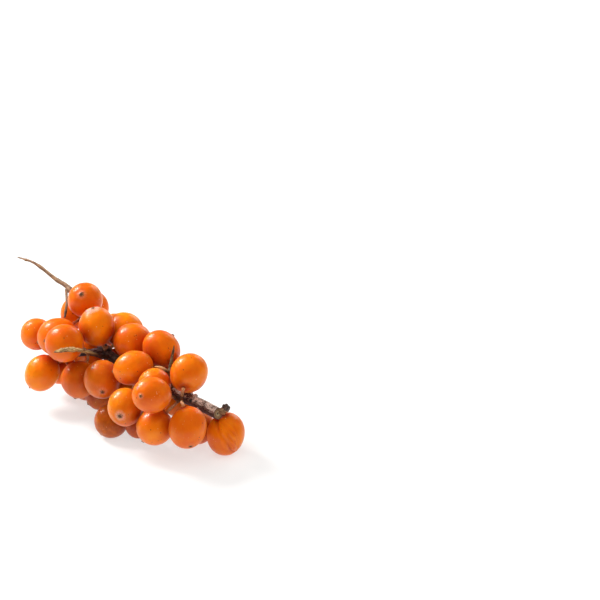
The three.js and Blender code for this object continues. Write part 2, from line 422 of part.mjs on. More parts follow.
function cushion(points) {
  const r = CUSHION_RADIUS;
  const rows = [[0, 0, -r * 0.8], [0, r, 0], [1 / 3, r, 0], [2 / 3, r, 0], [1, r, 0], [1, 0, r * 0.8]];
  return solid(bentRod(lineOf(points), rows, 5));
}

// One berry about its own centre.
function berry([name, at, size, turn, tip]) {
  const g = new THREE.LatheGeometry(BERRY_PROFILE.map(([x, y]) => new THREE.Vector2(x, y)), BERRY_SIDES);
  const rotation = new THREE.Quaternion().setFromEuler(
    new THREE.Euler(...turn.map(THREE.MathUtils.degToRad), 'XYZ'));
  // Direction of the calyx in the space where the berry is a unit ball.
  const axis = vec(tip).applyQuaternion(rotation.clone().invert()).divide(vec(size)).normalize();
  g.applyQuaternion(new THREE.Quaternion().setFromUnitVectors(new THREE.Vector3(0, 1, 0), axis));
  g.scale(...size);
  g.applyQuaternion(rotation);
  if (RESTING.includes(name)) seat(g, -at[2]);
  return g;
}

// Presses the lowest facet of a berry, and every point near it, onto the
// level that the sprig lies on.
function seat(g, level) {
  const merged = mergeVertices(g, 1e-4);
  const pos = g.attributes.position;
  const idx = g.index.array;
  let best = Infinity;
  let low = [];
  for (let i = 0; i < idx.length; i += 3) {
    const pts = [idx[i], idx[i + 1], idx[i + 2]].map((k) => vec([pos.getX(k), pos.getY(k), pos.getZ(k)]));
    const area = pts[1].clone().sub(pts[0]).cross(pts[2].clone().sub(pts[0])).length();
    const top = Math.max(...pts.map((q) => q.z));
    if (area > 0.05 && top < best) {
      best = top;
      low = pts;
    }
  }
  merged.dispose();
  for (let i = 0; i < pos.count; i++) {
    const q = vec([pos.getX(i), pos.getY(i), pos.getZ(i)]);
    const inFacet = low.some((s) => s.distanceTo(q) < 1e-3);
    if (inFacet || q.z < level + SEAT_HEIGHT) pos.setZ(i, level);
  }
}

// ------------------------------------------------------------------- assembly

const sprig = new THREE.Group();
sprig.name = 'sea_buckthorn_sprig';
sprig.position.set(-ORIGIN[0], -ORIGIN[1], -ORIGIN[2]);

function add(name, geometry, material, at = [0, 0, 0]) {
  const mesh = new THREE.Mesh(geometry, material());
  mesh.name = name;
  mesh.position.set(...at);
  sprig.add(mesh);
  return mesh;
}

// Old wood and what grows from it.
let mainStem = stem().subtract(pith());
for (const growth of STEM_GROWTHS) mainStem = mainStem.add(shoot(growth, 4, 6));
const stemRoom = stem(BARK_GAP);
const spurRoom = shoot(LEFT_SPUR, 5, 8, BARK_GAP);
const leftThornRoom = shoot(LEFT_THORN, 12, 7, BARK_GAP);
const rightThornRoom = shoot(RIGHT_THORN, 9, 7, BARK_GAP);
add('main_stem', geometryOf(mainStem), OLD_BARK);

let leftSpur = shoot(LEFT_SPUR, 5, 8);
for (const [, points] of SPUR_STALKS) leftSpur = leftSpur.add(stalk(points));
add('left_spur', geometryOf(leftSpur.subtract(stemRoom)), OLD_BARK);
add('left_thorn', geometryOf(shoot(LEFT_THORN, 12, 7).subtract(stemRoom)), PALE_BARK);
add('right_thorn', geometryOf(shoot(RIGHT_THORN, 9, 7).add(shoot(RIGHT_TWIGLET, 5, 6)).subtract(stemRoom)), OLIVE_BARK);
add('fork_twig', geometryOf(shoot(FORK_TWIG, 7, 6).subtract(stemRoom)), YOUNG_BARK);

// Berry stalks, cushion by cushion.
for (const [name, stalks, cushions] of STALKS) {
  let piece = null;
  for (const [, points] of stalks) piece = piece ? piece.add(stalk(points)) : stalk(points);
  for (const points of cushions) piece = piece.add(cushion(points));
  for (const room of [stemRoom, spurRoom, leftThornRoom, rightThornRoom]) piece = piece.subtract(room);
  add(name, geometryOf(piece), STALK_SKIN);
}

// Berries.
BERRIES.forEach((row, i) => add(row[0], berry(row), BERRY_SKINS[(i * 2) % BERRY_SKINS.length], row[1]));

export default sprig;
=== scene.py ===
# Sea buckthorn sprig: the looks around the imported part.
#
# Lengths in the tables are millimetres in the same frame as the part, before
# ORIGIN is taken off; put_in_frame() turns them into metres.

import json
import math

import bpy
import numpy as np
from mathutils import Matrix, Vector


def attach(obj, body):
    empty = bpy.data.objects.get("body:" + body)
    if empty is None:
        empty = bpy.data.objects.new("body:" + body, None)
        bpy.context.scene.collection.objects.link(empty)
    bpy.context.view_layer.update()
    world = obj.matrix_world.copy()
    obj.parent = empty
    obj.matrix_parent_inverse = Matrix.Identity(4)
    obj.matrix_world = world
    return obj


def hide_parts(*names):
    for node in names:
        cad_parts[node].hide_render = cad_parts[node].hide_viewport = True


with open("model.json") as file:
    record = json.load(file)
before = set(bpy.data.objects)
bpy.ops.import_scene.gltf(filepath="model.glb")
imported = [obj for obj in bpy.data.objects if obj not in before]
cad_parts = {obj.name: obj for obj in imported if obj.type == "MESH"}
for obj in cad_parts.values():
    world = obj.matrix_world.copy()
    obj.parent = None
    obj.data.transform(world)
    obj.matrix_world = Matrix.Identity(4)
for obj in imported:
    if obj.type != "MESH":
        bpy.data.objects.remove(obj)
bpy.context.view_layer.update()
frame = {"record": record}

scene = bpy.context.scene

# ------------------------------------------------------------------ tables

ORIGIN = np.array([-2.323, -1.699, 0.0])

# name, centre, half sizes, turn (XYZ degrees), calyx direction, stalk direction
BERRIES = [
  ['berry_01', [31.17, 4.62, 4.75], [4.35, 5.03, 4.06], [-128.5, -43.1, -14.8], [0.42, 0.30, -0.86], [-0.12, -0.02, 0.99]],
  ['berry_02', [30.04, -5.53, 9.33], [4.31, 4.85, 3.93], [-128.3, -44.7, -11.7], [0.66, -0.36, -0.66], [-0.38, 0.09, 0.92]],
  ['berry_03', [23.12, 2.96, 3.96], [4.04, 4.10, 3.78], [-128.4, -44.3, -14.8], [-0.44, 0.35, -0.83], [0.29, -0.20, 0.94]],
  ['berry_04', [23.06, 0.87, 18.23], [4.29, 4.68, 4.07], [-125.9, -45.3, 3.4], [-0.48, 0.76, 0.43], [0.48, -0.76, -0.43]],
  ['berry_05', [23.00, -9.89, 16.27], [4.51, 4.13, 3.84], [-128.5, -44.7, -27.7], [0.18, -0.93, 0.31], [-0.18, 0.93, -0.31]],
  ['berry_06', [22.11, -8.55, 7.48], [4.25, 4.22, 3.92], [-129.7, -43.3, -42.8], [-0.23, -0.65, -0.72], [0.23, 0.65, 0.72]],
  ['berry_07', [17.65, -4.78, 15.18], [3.78, 3.87, 3.52], [-128.2, -44.8, -27.5], [0.42, -0.90, 0.11], [-0.62, 0.76, -0.18]],
  ['berry_08', [17.13, 5.06, 15.41], [3.45, 3.45, 3.45], [-0.0, 0.0, 0.0], [0.14, 0.93, 0.34], [-0.14, -0.93, -0.34]],
  ['berry_09', [16.46, 2.89, 8.37], [3.88, 3.88, 3.61], [-128.3, -44.1, -27.5], [0.42, 0.62, -0.66], [-0.42, -0.62, 0.66]],
  ['berry_10', [14.58, -10.88, 10.47], [4.10, 4.46, 3.81], [-129.2, -45.1, -28.3], [0.54, -0.83, -0.11], [-0.41, 0.87, 0.28]],
  ['berry_11', [13.95, -6.85, 4.60], [3.13, 3.41, 2.92], [-129.5, -44.7, -28.4], [-0.13, -0.43, -0.89], [0.13, 0.43, 0.89]],
  ['berry_12', [11.55, -0.62, 3.54], [3.61, 3.61, 3.61], [-0.0, 0.0, 0.0], [0.63, -0.10, -0.77], [-0.23, 0.03, 0.97]],
  ['berry_13', [10.12, -4.83, 16.69], [4.76, 3.92, 3.65], [-128.0, -45.3, -47.4], [-0.57, -0.81, -0.13], [0.56, 0.75, -0.35]],
  ['berry_14', [9.94, 3.60, 18.77], [4.69, 4.15, 3.90], [-124.0, -45.9, 17.7], [0.15, 0.73, 0.66], [-0.19, -0.72, -0.67]],
  ['berry_15', [9.47, 4.96, 10.78], [3.75, 3.75, 3.75], [-0.0, 0.0, 0.0], [0.21, 0.95, -0.24], [-0.21, -0.95, 0.24]],
  ['berry_16', [7.52, -9.61, 3.92], [3.97, 4.06, 3.69], [-129.8, -45.2, -28.7], [-0.25, -0.55, -0.80], [0.20, 0.54, 0.82]],
  ['berry_17', [3.33, -8.56, 12.60], [4.34, 4.54, 4.03], [-128.8, -45.8, -28.0], [0.74, -0.59, -0.32], [-0.45, 0.89, 0.06]],
  ['berry_18', [3.08, -1.66, 8.30], [3.85, 3.85, 3.85], [-0.0, 0.0, 0.0], [0.65, 0.07, -0.76], [-0.65, -0.07, 0.76]],
  ['berry_19', [1.86, 5.72, 10.75], [3.81, 3.81, 3.81], [-0.0, 0.0, 0.0], [0.29, 0.89, -0.35], [-0.29, -0.89, 0.35]],
  ['berry_20', [1.28, 2.15, 18.10], [4.61, 4.31, 4.01], [-127.5, -45.4, -30.6], [-0.55, 0.53, 0.64], [0.55, -0.53, -0.64]],
  ['berry_21', [-0.81, 3.38, 3.68], [3.75, 3.75, 3.75], [-0.0, 0.0, 0.0], [0.15, 0.61, -0.78], [-0.15, -0.40, 0.90]],
  ['berry_22', [-4.10, -3.47, 4.30], [3.77, 3.77, 3.51], [-129.2, -45.7, -28.3], [-0.29, -0.82, -0.49], [0.23, 0.42, 0.88]],
  ['berry_23', [-4.60, -9.18, 9.86], [4.38, 4.43, 4.08], [-129.1, -46.3, -28.2], [0.16, -0.43, -0.89], [-0.26, 0.70, 0.67]],
  ['berry_24', [-6.22, 5.57, 17.22], [4.65, 4.34, 4.11], [-126.3, -46.2, -16.9], [-0.23, 0.87, 0.44], [0.23, -0.87, -0.44]],
  ['berry_25', [-6.33, -2.33, 20.59], [4.27, 4.69, 3.97], [-127.4, -46.5, -27.0], [-0.19, -0.05, 0.98], [0.24, 0.15, -0.96]],
  ['berry_26', [-6.37, -11.70, 19.28], [4.58, 4.47, 4.15], [-128.3, -46.9, -27.7], [-0.64, -0.75, 0.17], [0.16, 0.88, -0.45]],
  ['berry_27', [-6.56, 3.85, 9.08], [3.80, 3.80, 3.80], [-0.0, 0.0, 0.0], [0.09, 0.71, -0.70], [-0.09, -0.71, 0.70]],
  ['berry_28', [-11.39, -1.97, 3.73], [3.80, 3.80, 3.80], [-0.0, 0.0, 0.0], [0.34, 0.53, -0.77], [-0.34, -0.53, 0.77]],
  ['berry_29', [-13.37, 0.32, 11.19], [4.11, 4.11, 3.82], [-128.2, -46.4, -27.5], [0.23, -0.04, -0.97], [-0.23, 0.04, 0.97]],
  ['berry_30', [-13.46, 8.24, 13.80], [4.20, 4.20, 4.20], [-0.0, 0.0, 0.0], [-0.19, 0.93, -0.31], [0.19, -0.93, 0.31]],
  ['berry_31', [-13.75, -8.00, 17.16], [4.97, 4.57, 4.25], [-128.2, -47.1, -27.6], [-0.50, -0.85, -0.19], [0.75, 0.53, -0.40]],
  ['berry_32', [-15.11, 1.24, 23.32], [4.18, 4.21, 3.89], [-126.8, -47.0, -26.5], [0.41, -0.59, 0.70], [-0.53, 0.39, -0.75]],
  ['berry_33', [-15.24, -11.95, 8.64], [3.99, 4.56, 3.86], [-125.0, -48.6, 7.5], [-0.20, -0.69, -0.69], [0.25, 0.79, 0.55]],
  ['berry_34', [-18.13, -4.59, 6.67], [3.94, 4.04, 3.71], [-127.4, -47.6, -12.6], [-0.57, 0.42, -0.70], [0.57, -0.42, 0.70]],
  ['berry_35', [-21.81, -8.30, 15.19], [3.89, 3.86, 3.54], [-129.7, -46.9, -39.0], [-0.91, -0.17, 0.38], [0.91, 0.17, -0.38]],
  ['berry_36', [-22.42, 3.38, 16.80], [3.39, 3.99, 3.15], [-127.3, -47.1, -26.9], [-0.85, 0.09, -0.52], [0.85, -0.09, 0.52]],
  ['berry_37', [-23.16, -1.97, 11.78], [3.54, 3.54, 3.54], [-0.0, 0.0, 0.0], [-0.71, -0.11, -0.70], [0.71, 0.11, 0.70]],
  ['berry_38', [-23.64, 10.13, 15.75], [3.71, 4.14, 3.45], [-126.9, -46.7, -26.6], [-0.37, 0.59, -0.71], [0.37, -0.59, 0.71]],
]
RESTING = ["berry_16", "berry_01", "berry_03", "berry_28", "berry_21", "berry_12"]

# cushion name, stalks (berry, line from bark to berry), cushion lines
STALKS = [
  ['stalks_01', [
    ['berry_01', [[30.58, 3.78, 10.41], [30.55, 4.08, 10.34], [30.55, 4.28, 10.20], [30.58, 4.41, 9.96], [30.60, 4.51, 9.56]]],
  ], [
  ]],
  ['stalks_02', [
    ['berry_03', [[24.74, 1.23, 10.68], [24.67, 1.42, 10.10], [24.63, 1.61, 9.49], [24.57, 1.80, 8.88], [24.47, 1.98, 8.27], [24.28, 2.15, 7.69]]],
  ], [
  ]],
  ['stalks_03', [
    ['berry_04', [[22.64, -0.69, 12.95], [23.11, -1.23, 13.37], [23.69, -1.78, 13.84], [24.28, -2.26, 14.39], [24.80, -2.61, 14.99], [25.20, -2.82, 15.58], [25.39, -2.83, 16.06], [25.23, -2.56, 16.30]]],
    ['berry_02', [[22.72, -0.85, 11.80], [23.20, -1.43, 11.97], [23.83, -2.02, 12.28], [24.55, -2.62, 12.67], [25.31, -3.22, 13.07], [26.07, -3.79, 13.47], [26.80, -4.31, 13.81], [27.45, -4.74, 14.03], [27.96, -5.04, 14.05], [28.23, -5.11, 13.74]]],
  ], [
    [[22.67, -0.78, 13.02], [22.73, -0.98, 12.63], [22.75, -1.04, 12.20], [22.74, -0.96, 11.76]],
  ]],
  ['stalks_04', [
    ['berry_05', [[20.62, -1.19, 12.01], [20.77, -1.74, 12.18], [20.95, -2.31, 12.51], [21.15, -2.89, 12.92], [21.36, -3.48, 13.38], [21.57, -4.08, 13.85], [21.78, -4.70, 14.30], [22.00, -5.35, 14.71], [22.24, -6.03, 15.01]]],
    ['berry_06', [[21.34, -0.72, 11.46], [21.55, -1.31, 11.27], [21.83, -1.99, 11.18], [22.14, -2.72, 11.14], [22.46, -3.46, 11.12], [22.76, -4.17, 11.09], [23.00, -4.83, 11.02], [23.14, -5.38, 10.87], [23.09, -5.73, 10.59]]],
  ], [
    [[20.63, -1.30, 11.96], [20.88, -1.16, 11.75], [21.12, -0.99, 11.54], [21.35, -0.79, 11.36]],
  ]],
  ['stalks_05', [
    ['berry_08', [[16.57, 0.32, 13.16], [16.55, 0.70, 13.44], [16.55, 1.05, 13.74], [16.57, 1.40, 14.01], [16.62, 1.79, 14.20]]],
  ], [
  ]],
  ['stalks_06', [
    ['berry_11', [[14.49, -1.56, 12.03], [14.52, -2.01, 11.54], [14.55, -2.52, 11.02], [14.58, -3.05, 10.49], [14.60, -3.59, 9.95], [14.61, -4.12, 9.39], [14.59, -4.61, 8.83], [14.53, -5.05, 8.24], [14.40, -5.38, 7.62]]],
    ['berry_09', [[14.57, -0.37, 11.99], [14.56, -0.18, 11.70], [14.58, -0.02, 11.46], [14.65, 0.17, 11.22], [14.80, 0.44, 10.94]]],
    ['berry_07', [[14.95, -1.30, 13.90], [14.98, -1.42, 14.15], [15.04, -1.54, 14.31], [15.16, -1.71, 14.42], [15.41, -2.01, 14.52]]],
  ], [
    [[14.49, -1.63, 11.94], [14.51, -1.20, 11.75], [14.53, -0.74, 11.73], [14.56, -0.30, 11.89]],
    [[14.56, -0.30, 11.89], [14.62, 0.27, 12.87], [14.79, -0.23, 13.88], [14.96, -1.35, 14.01]],
  ]],
  ['stalks_07', [
    ['berry_10', [[12.46, -2.14, 12.96], [12.44, -2.82, 12.80], [12.41, -3.56, 12.61], [12.39, -4.33, 12.39], [12.39, -5.10, 12.16], [12.45, -5.87, 11.95], [12.58, -6.60, 11.77], [12.86, -7.27, 11.64]]],
    ['berry_12', [[10.53, -0.79, 12.14], [10.50, -0.68, 11.50], [10.48, -0.61, 10.80], [10.45, -0.56, 10.07], [10.45, -0.53, 9.33], [10.47, -0.51, 8.58], [10.54, -0.51, 7.84], [10.69, -0.52, 7.12]]],
    ['berry_13', [[12.96, -1.03, 14.06], [12.96, -1.04, 14.39], [12.92, -1.10, 14.66], [12.82, -1.24, 14.89], [12.62, -1.51, 15.12]]],
  ], [
    [[12.46, -2.26, 12.95], [11.81, -2.01, 12.31], [11.15, -1.43, 11.96], [10.50, -0.74, 12.03]],
    [[10.53, -0.74, 12.03], [11.32, -0.01, 12.74], [12.13, -0.15, 13.72], [12.95, -1.02, 14.18]],
  ]],
  ['stalks_08', [
    ['berry_14', [[8.99, -0.81, 14.11], [8.99, -0.52, 14.61], [9.01, -0.19, 15.09], [9.06, 0.17, 15.54], [9.15, 0.58, 15.94]]],
    ['berry_16', [[8.51, -1.93, 12.45], [8.53, -2.48, 11.97], [8.56, -3.10, 11.45], [8.59, -3.76, 10.91], [8.62, -4.43, 10.35], [8.64, -5.10, 9.77], [8.64, -5.76, 9.18], [8.61, -6.38, 8.57], [8.52, -6.95, 7.94], [8.35, -7.41, 7.27]]],
  ], [
    [[8.99, -0.76, 14.22], [8.84, -1.76, 14.15], [8.68, -2.32, 13.32], [8.51, -2.01, 12.37]],
  ]],
  ['stalks_09', [
    ['berry_15', [[8.51, -0.25, 12.74], [8.52, 0.16, 12.42], [8.55, 0.54, 12.11], [8.60, 0.92, 11.84], [8.68, 1.33, 11.69]]],
  ], [
  ]],
  ['stalks_10', [
    ['berry_20', [[3.98, -0.77, 14.16], [3.99, -0.65, 14.50], [3.97, -0.53, 14.78], [3.88, -0.38, 15.04], [3.66, -0.16, 15.31]]],
  ], [
  ]],
  ['stalks_11', [
    ['berry_18', [[0.06, -1.55, 12.50], [0.07, -1.75, 12.18], [0.14, -1.88, 11.89], [0.28, -1.95, 11.60], [0.54, -1.94, 11.27]]],
    ['berry_19', [[0.48, -0.12, 12.77], [0.49, 0.46, 12.60], [0.52, 1.07, 12.45], [0.59, 1.68, 12.30], [0.74, 2.26, 12.10]]],
    ['berry_17', [[1.03, -1.97, 13.03], [1.00, -2.67, 12.94], [1.01, -3.42, 12.87], [1.12, -4.14, 12.84], [1.40, -4.79, 12.84]]],
  ], [
    [[0.05, -1.62, 12.41], [0.18, -1.05, 12.19], [0.32, -0.46, 12.30], [0.48, -0.02, 12.71]],
    [[0.49, -0.02, 12.71], [0.65, -0.71, 12.20], [0.82, -1.57, 12.32], [1.02, -2.09, 13.00]],
  ]],
  ['stalks_12', [
    ['berry_22', [[-2.91, -1.18, 12.63], [-2.92, -1.28, 11.97], [-2.92, -1.34, 11.25], [-2.92, -1.38, 10.50], [-2.93, -1.42, 9.74], [-2.96, -1.50, 8.99], [-3.04, -1.63, 8.28], [-3.20, -1.87, 7.64]]],
    ['berry_21', [[-1.47, -0.37, 12.54], [-1.49, -0.10, 11.94], [-1.51, 0.17, 11.29], [-1.52, 0.44, 10.61], [-1.53, 0.71, 9.92], [-1.53, 0.98, 9.22], [-1.52, 1.26, 8.52], [-1.47, 1.54, 7.82], [-1.38, 1.84, 7.13]]],
  ], [
    [[-2.92, -1.23, 12.52], [-2.46, -0.92, 12.39], [-1.99, -0.60, 12.36], [-1.51, -0.31, 12.44]],
  ]],
  ['stalks_13', [
    ['berry_25', [[-5.10, -1.07, 14.76], [-5.08, -1.25, 15.10], [-5.09, -1.39, 15.41], [-5.12, -1.50, 15.75], [-5.20, -1.61, 16.15]]],
    ['berry_24', [[-5.23, 0.29, 14.50], [-5.13, 0.67, 14.71], [-5.08, 1.02, 14.90], [-5.09, 1.38, 15.09], [-5.20, 1.75, 15.28]]],
    ['berry_27', [[-6.82, 0.11, 13.60], [-6.89, 0.33, 13.10], [-6.94, 0.55, 12.61], [-6.95, 0.79, 12.16], [-6.92, 1.11, 11.79]]],
  ], [
    [[-5.08, -1.14, 14.86], [-5.07, -0.59, 15.04], [-5.13, -0.03, 14.93], [-5.26, 0.40, 14.57]],
    [[-5.20, 0.39, 14.55], [-5.71, 0.61, 14.13], [-6.26, 0.52, 13.73], [-6.80, 0.16, 13.48]],
  ]],
  ['stalks_14', [
    ['berry_23', [[-7.08, -4.49, 14.06], [-6.68, -4.87, 13.83], [-6.30, -5.26, 13.54], [-5.99, -5.66, 13.21], [-5.78, -6.08, 12.84]]],
    ['berry_26', [[-7.33, -4.59, 14.51], [-6.96, -5.03, 14.96], [-6.56, -5.52, 15.46], [-6.18, -6.03, 15.97], [-5.86, -6.57, 16.46], [-5.66, -7.13, 16.91], [-5.64, -7.74, 17.27]]],
    ['berry_31', [[-9.19, -5.09, 14.21], [-9.35, -5.08, 14.53], [-9.51, -5.11, 14.77], [-9.72, -5.20, 14.99], [-10.04, -5.39, 15.19]]],
  ], [
    [[-6.99, -4.57, 14.04], [-7.04, -4.64, 14.23], [-7.14, -4.68, 14.42], [-7.27, -4.67, 14.58]],
    [[-7.27, -4.67, 14.58], [-7.91, -4.84, 14.61], [-8.57, -4.95, 14.53], [-9.22, -5.05, 14.32]],
  ]],
  ['stalks_15', [
    ['berry_29', [[-14.18, 0.80, 16.58], [-14.31, 0.66, 16.26], [-14.39, 0.56, 15.97], [-14.41, 0.49, 15.65], [-14.34, 0.47, 15.24]]],
  ], [
  ]],
  ['stalks_16', [
    ['berry_36', [[-18.92, 2.66, 19.18], [-18.99, 2.84, 18.99], [-19.10, 2.94, 18.85], [-19.29, 3.00, 18.71], [-19.63, 3.07, 18.51]]],
    ['berry_32', [[-17.80, 2.50, 19.56], [-17.68, 2.75, 19.70], [-17.58, 2.91, 19.83], [-17.46, 2.94, 20.00], [-17.23, 2.80, 20.29]]],
    ['berry_30', [[-12.59, 1.66, 16.60], [-12.54, 2.27, 16.24], [-12.52, 2.90, 15.82], [-12.54, 3.57, 15.43], [-12.66, 4.27, 15.14]]],
    ['berry_37', [[-17.15, 1.36, 17.98], [-17.50, 0.97, 17.54], [-17.89, 0.54, 17.09], [-18.31, 0.08, 16.64], [-18.74, -0.37, 16.19], [-19.19, -0.80, 15.72], [-19.65, -1.18, 15.26], [-20.12, -1.46, 14.79], [-20.60, -1.59, 14.31]]],
  ], [
    [[-18.94, 2.76, 19.10], [-18.51, 2.86, 19.24], [-18.09, 2.81, 19.43], [-17.72, 2.58, 19.60]],
    [[-17.75, 2.59, 19.62], [-15.99, 2.38, 18.64], [-14.27, 2.12, 17.62], [-12.58, 1.78, 16.57]],
    [[-12.57, 1.78, 16.57], [-14.18, 1.76, 16.71], [-15.72, 1.53, 17.12], [-17.14, 1.29, 17.86]],
  ]],
  ['stalks_17', [
    ['berry_38', [[-20.56, 3.23, 20.61], [-20.61, 3.86, 20.47], [-20.72, 4.52, 20.32], [-20.87, 5.19, 20.13], [-21.09, 5.82, 19.87], [-21.35, 6.41, 19.55], [-21.65, 6.98, 19.18], [-21.97, 7.50, 18.78], [-22.30, 7.98, 18.32]]],
  ], [
  ]],
]
SPUR_STALKS = [
  ['berry_33', [[-14.16, -7.17, 11.43], [-14.06, -7.47, 11.44], [-13.99, -7.72, 11.43], [-14.00, -7.98, 11.36], [-14.10, -8.32, 11.17]]],
  ['berry_34', [[-14.22, -6.50, 11.09], [-14.56, -6.44, 10.65], [-15.03, -6.44, 10.21], [-15.52, -6.39, 9.78], [-15.94, -6.18, 9.36]]],
  ['berry_35', [[-14.47, -6.69, 11.81], [-14.88, -6.77, 12.18], [-15.38, -6.90, 12.49], [-15.91, -7.06, 12.77], [-16.48, -7.24, 13.02], [-17.06, -7.41, 13.27], [-17.66, -7.55, 13.50], [-18.27, -7.65, 13.73]]],
  ['berry_28', [[-13.80, -6.60, 11.17], [-13.65, -6.35, 10.57], [-13.53, -6.03, 9.94], [-13.40, -5.67, 9.29], [-13.28, -5.28, 8.64], [-13.13, -4.87, 7.98], [-12.95, -4.45, 7.34], [-12.70, -4.04, 6.73]]],
]
MAIN_STEM = [
  [30.92, 2.61, 10.39, 1.34],
  [22.31, 0.20, 12.25, 1.30],
  [11.46, -1.14, 13.08, 1.16],
  [-2.95, -0.77, 13.54, 1.10],
  [-10.39, 0.44, 15.94, 1.00],
  [-17.37, 1.82, 18.80, 0.84],
  [-23.58, 3.19, 22.57, 0.64],
  [-28.47, 2.53, 24.06, 0.46],
  [-34.70, 1.39, 26.32, 0.33],
  [-39.82, 0.16, 26.64, 0.16],
]
LEFT_SPUR = [
  [-5.95, -1.37, 14.34, 0.75],
  [-8.29, -4.80, 13.95, 0.70],
  [-14.29, -6.76, 11.43, 0.55],
]
LEFT_THORN = [
  [-2.96, -1.64, 13.73, 0.62],
  [-2.89, -3.14, 14.31, 0.60],
  [-2.36, -5.53, 15.72, 0.54],
  [-1.63, -8.62, 17.72, 0.50],
  [-1.15, -11.22, 19.17, 0.55],
  [-1.40, -13.01, 19.84, 0.60],
  [-2.23, -14.93, 20.06, 0.62],
  [-2.90, -16.41, 19.94, 0.38],
  [-3.26, -17.05, 19.82, 0.08],
]
RIGHT_THORN = [
  [20.06, -0.92, 12.35, 0.62],
  [18.75, -0.39, 13.84, 0.55],
  [17.13, 0.39, 15.26, 0.50],
  [16.20, 1.00, 16.23, 0.50],
  [15.37, 2.15, 18.33, 0.42],
  [15.03, 3.02, 20.45, 0.26],
  [14.86, 3.42, 21.56, 0.05],
]
RIGHT_TWIGLET = [
  [16.58, 0.74, 15.95, 0.38],
  [15.83, -0.48, 17.08, 0.34],
  [15.37, -1.55, 17.71, 0.28],
  [14.97, -2.43, 18.05, 0.12],
]
FORK_TWIG = [
  [-24.92, 3.07, 22.17, 0.34],
  [-23.01, 1.68, 21.09, 0.30],
  [-21.47, 0.47, 20.16, 0.28],
  [-20.24, -0.81, 19.15, 0.34],
  [-19.27, -1.81, 18.49, 0.20],
]
# The side stub next to the cut, and the way the slanting cut faces.
SIDE_STUB = [
    [29.88, 3.37, 10.06, 0.80], [30.81, 3.65, 10.66, 0.74], [31.26, 4.10, 10.95, 0.80], [31.42, 4.38, 11.10, 0.84],
]
CUT_FACING = [0.988, 0.072, 0.132]

STEM_JOINTS = [
    (0.045, 0.06), (0.105, 0.16), (0.19, 0.10), (0.26, 0.10), (0.33, 0.12),
    (0.40, 0.08), (0.49, 0.06), (0.57, 0.10), (0.665, 0.16), (0.76, 0.07),
    (0.86, 0.09), (0.94, 0.05),
]

# The camera: right, up and back directions, and its place before ORIGIN is
# taken off.
CAM_AT = np.array([427.2463, -329.5233, 270.5489])
CAM_RIGHT = np.array([0.66913061, 0.74314483, 0.0])
CAM_UP = np.array([-0.30463218, 0.27429205, 0.91212012])
CAM_BACK = np.array([0.67783734, -0.61032749, 0.40992303])

# ------------------------------------------------------------------- noise


def lattice(ix, iy, iz, seed):
    h = (
        ix.astype(np.uint32) * np.uint32(374761393)
        ^ iy.astype(np.uint32) * np.uint32(668265263)
        ^ iz.astype(np.uint32) * np.uint32(2246822519)
        ^ np.uint32((seed * 3266489917 + 977) & 0xFFFFFFFF)
    )
    h = (h ^ (h >> np.uint32(15))) * np.uint32(2246822519)
    h = (h ^ (h >> np.uint32(13))) * np.uint32(3266489917)
    h = h ^ (h >> np.uint32(16))
    return h.astype(np.float64) / 2147483647.5 - 1.0


def noise(p, seed=0):
    """Smooth value noise, about -1 to 1, at points p (N, 3)."""
    p = np.asarray(p, float)
    b = np.floor(p).astype(np.int64)
    f = p - b
    f = f * f * f * (f * (f * 6 - 15) + 10)
    x, y, z = b[:, 0], b[:, 1], b[:, 2]
    out = 0.0
    for dx in (0, 1):
        wx = f[:, 0] if dx else 1 - f[:, 0]
        for dy in (0, 1):
            wy = f[:, 1] if dy else 1 - f[:, 1]
            for dz in (0, 1):
                wz = f[:, 2] if dz else 1 - f[:, 2]
                out = out + wx * wy * wz * lattice(x + dx, y + dy, z + dz, seed)
    return out


def fbm(p, octaves=3, seed=0):
    total, amp, norm = 0.0, 1.0, 0.0
    q = np.asarray(p, float)
    for i in range(octaves):
        total = total + amp * noise(q, seed + 31 * i)
        norm += amp
        amp *= 0.5
        q = q * 2.03 + 7.3
    return total / norm


def smoothstep(x, a, b):
    t = np.clip((x - a) / (b - a), 0, 1)
    return t * t * (3 - 2 * t)


# ------------------------------------------------------------ mesh helpers


def put_in_frame(points):
    return (np.asarray(points, float) - ORIGIN) * 0.001


def make_piece(name, verts, faces, materials, attrs=None, face_mats=None, replaces=None):
    me = bpy.data.meshes.new(name)
    me.from_pydata(put_in_frame(verts).tolist(), [], faces)
    me.validate(clean_customdata=False)
    for m in materials:
        me.materials.append(m)
    if face_mats is not None:
        me.polygons.foreach_set("material_index", np.asarray(face_mats, np.int32))
    me.polygons.foreach_set("use_smooth", np.ones(len(me.polygons), bool))
    for key, val in (attrs or {}).items():
        val = np.asarray(val, np.float32)
        if val.ndim == 2:
            a = me.attributes.new(key, "FLOAT_VECTOR", "POINT")
            a.data.foreach_set("vector", val.ravel())
        else:
            a = me.attributes.new(key, "FLOAT", "POINT")
            a.data.foreach_set("value", val)
    me.update()
    ob = bpy.data.objects.new(name, me)
    scene.collection.objects.link(ob)
    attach(ob, "root")
    if replaces:
        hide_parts(replaces)
    return ob


def catmull(points, n):
    """The same line through the points as the part uses, n samples a span."""
    p = np.asarray(points, float)
    q = np.vstack([2 * p[0] - p[1], p, 2 * p[-1] - p[-2]])
    out, ts = [], []
    spans = len(p) - 1
    for i in range(spans):
        p0, p1, p2, p3 = q[i : i + 4]
        for t in np.linspace(0, 1, n, endpoint=False):
            out.append(
                0.5 * (2 * p1 + (-p0 + p2) * t + (2 * p0 - 5 * p1 + 4 * p2 - p3) * t * t
                       + (-p0 + 3 * p1 - 3 * p2 + p3) * t ** 3)
            )
            ts.append((i + t) / spans)
    out.append(p[-1])
    ts.append(1.0)
    return np.array(out), np.array(ts)


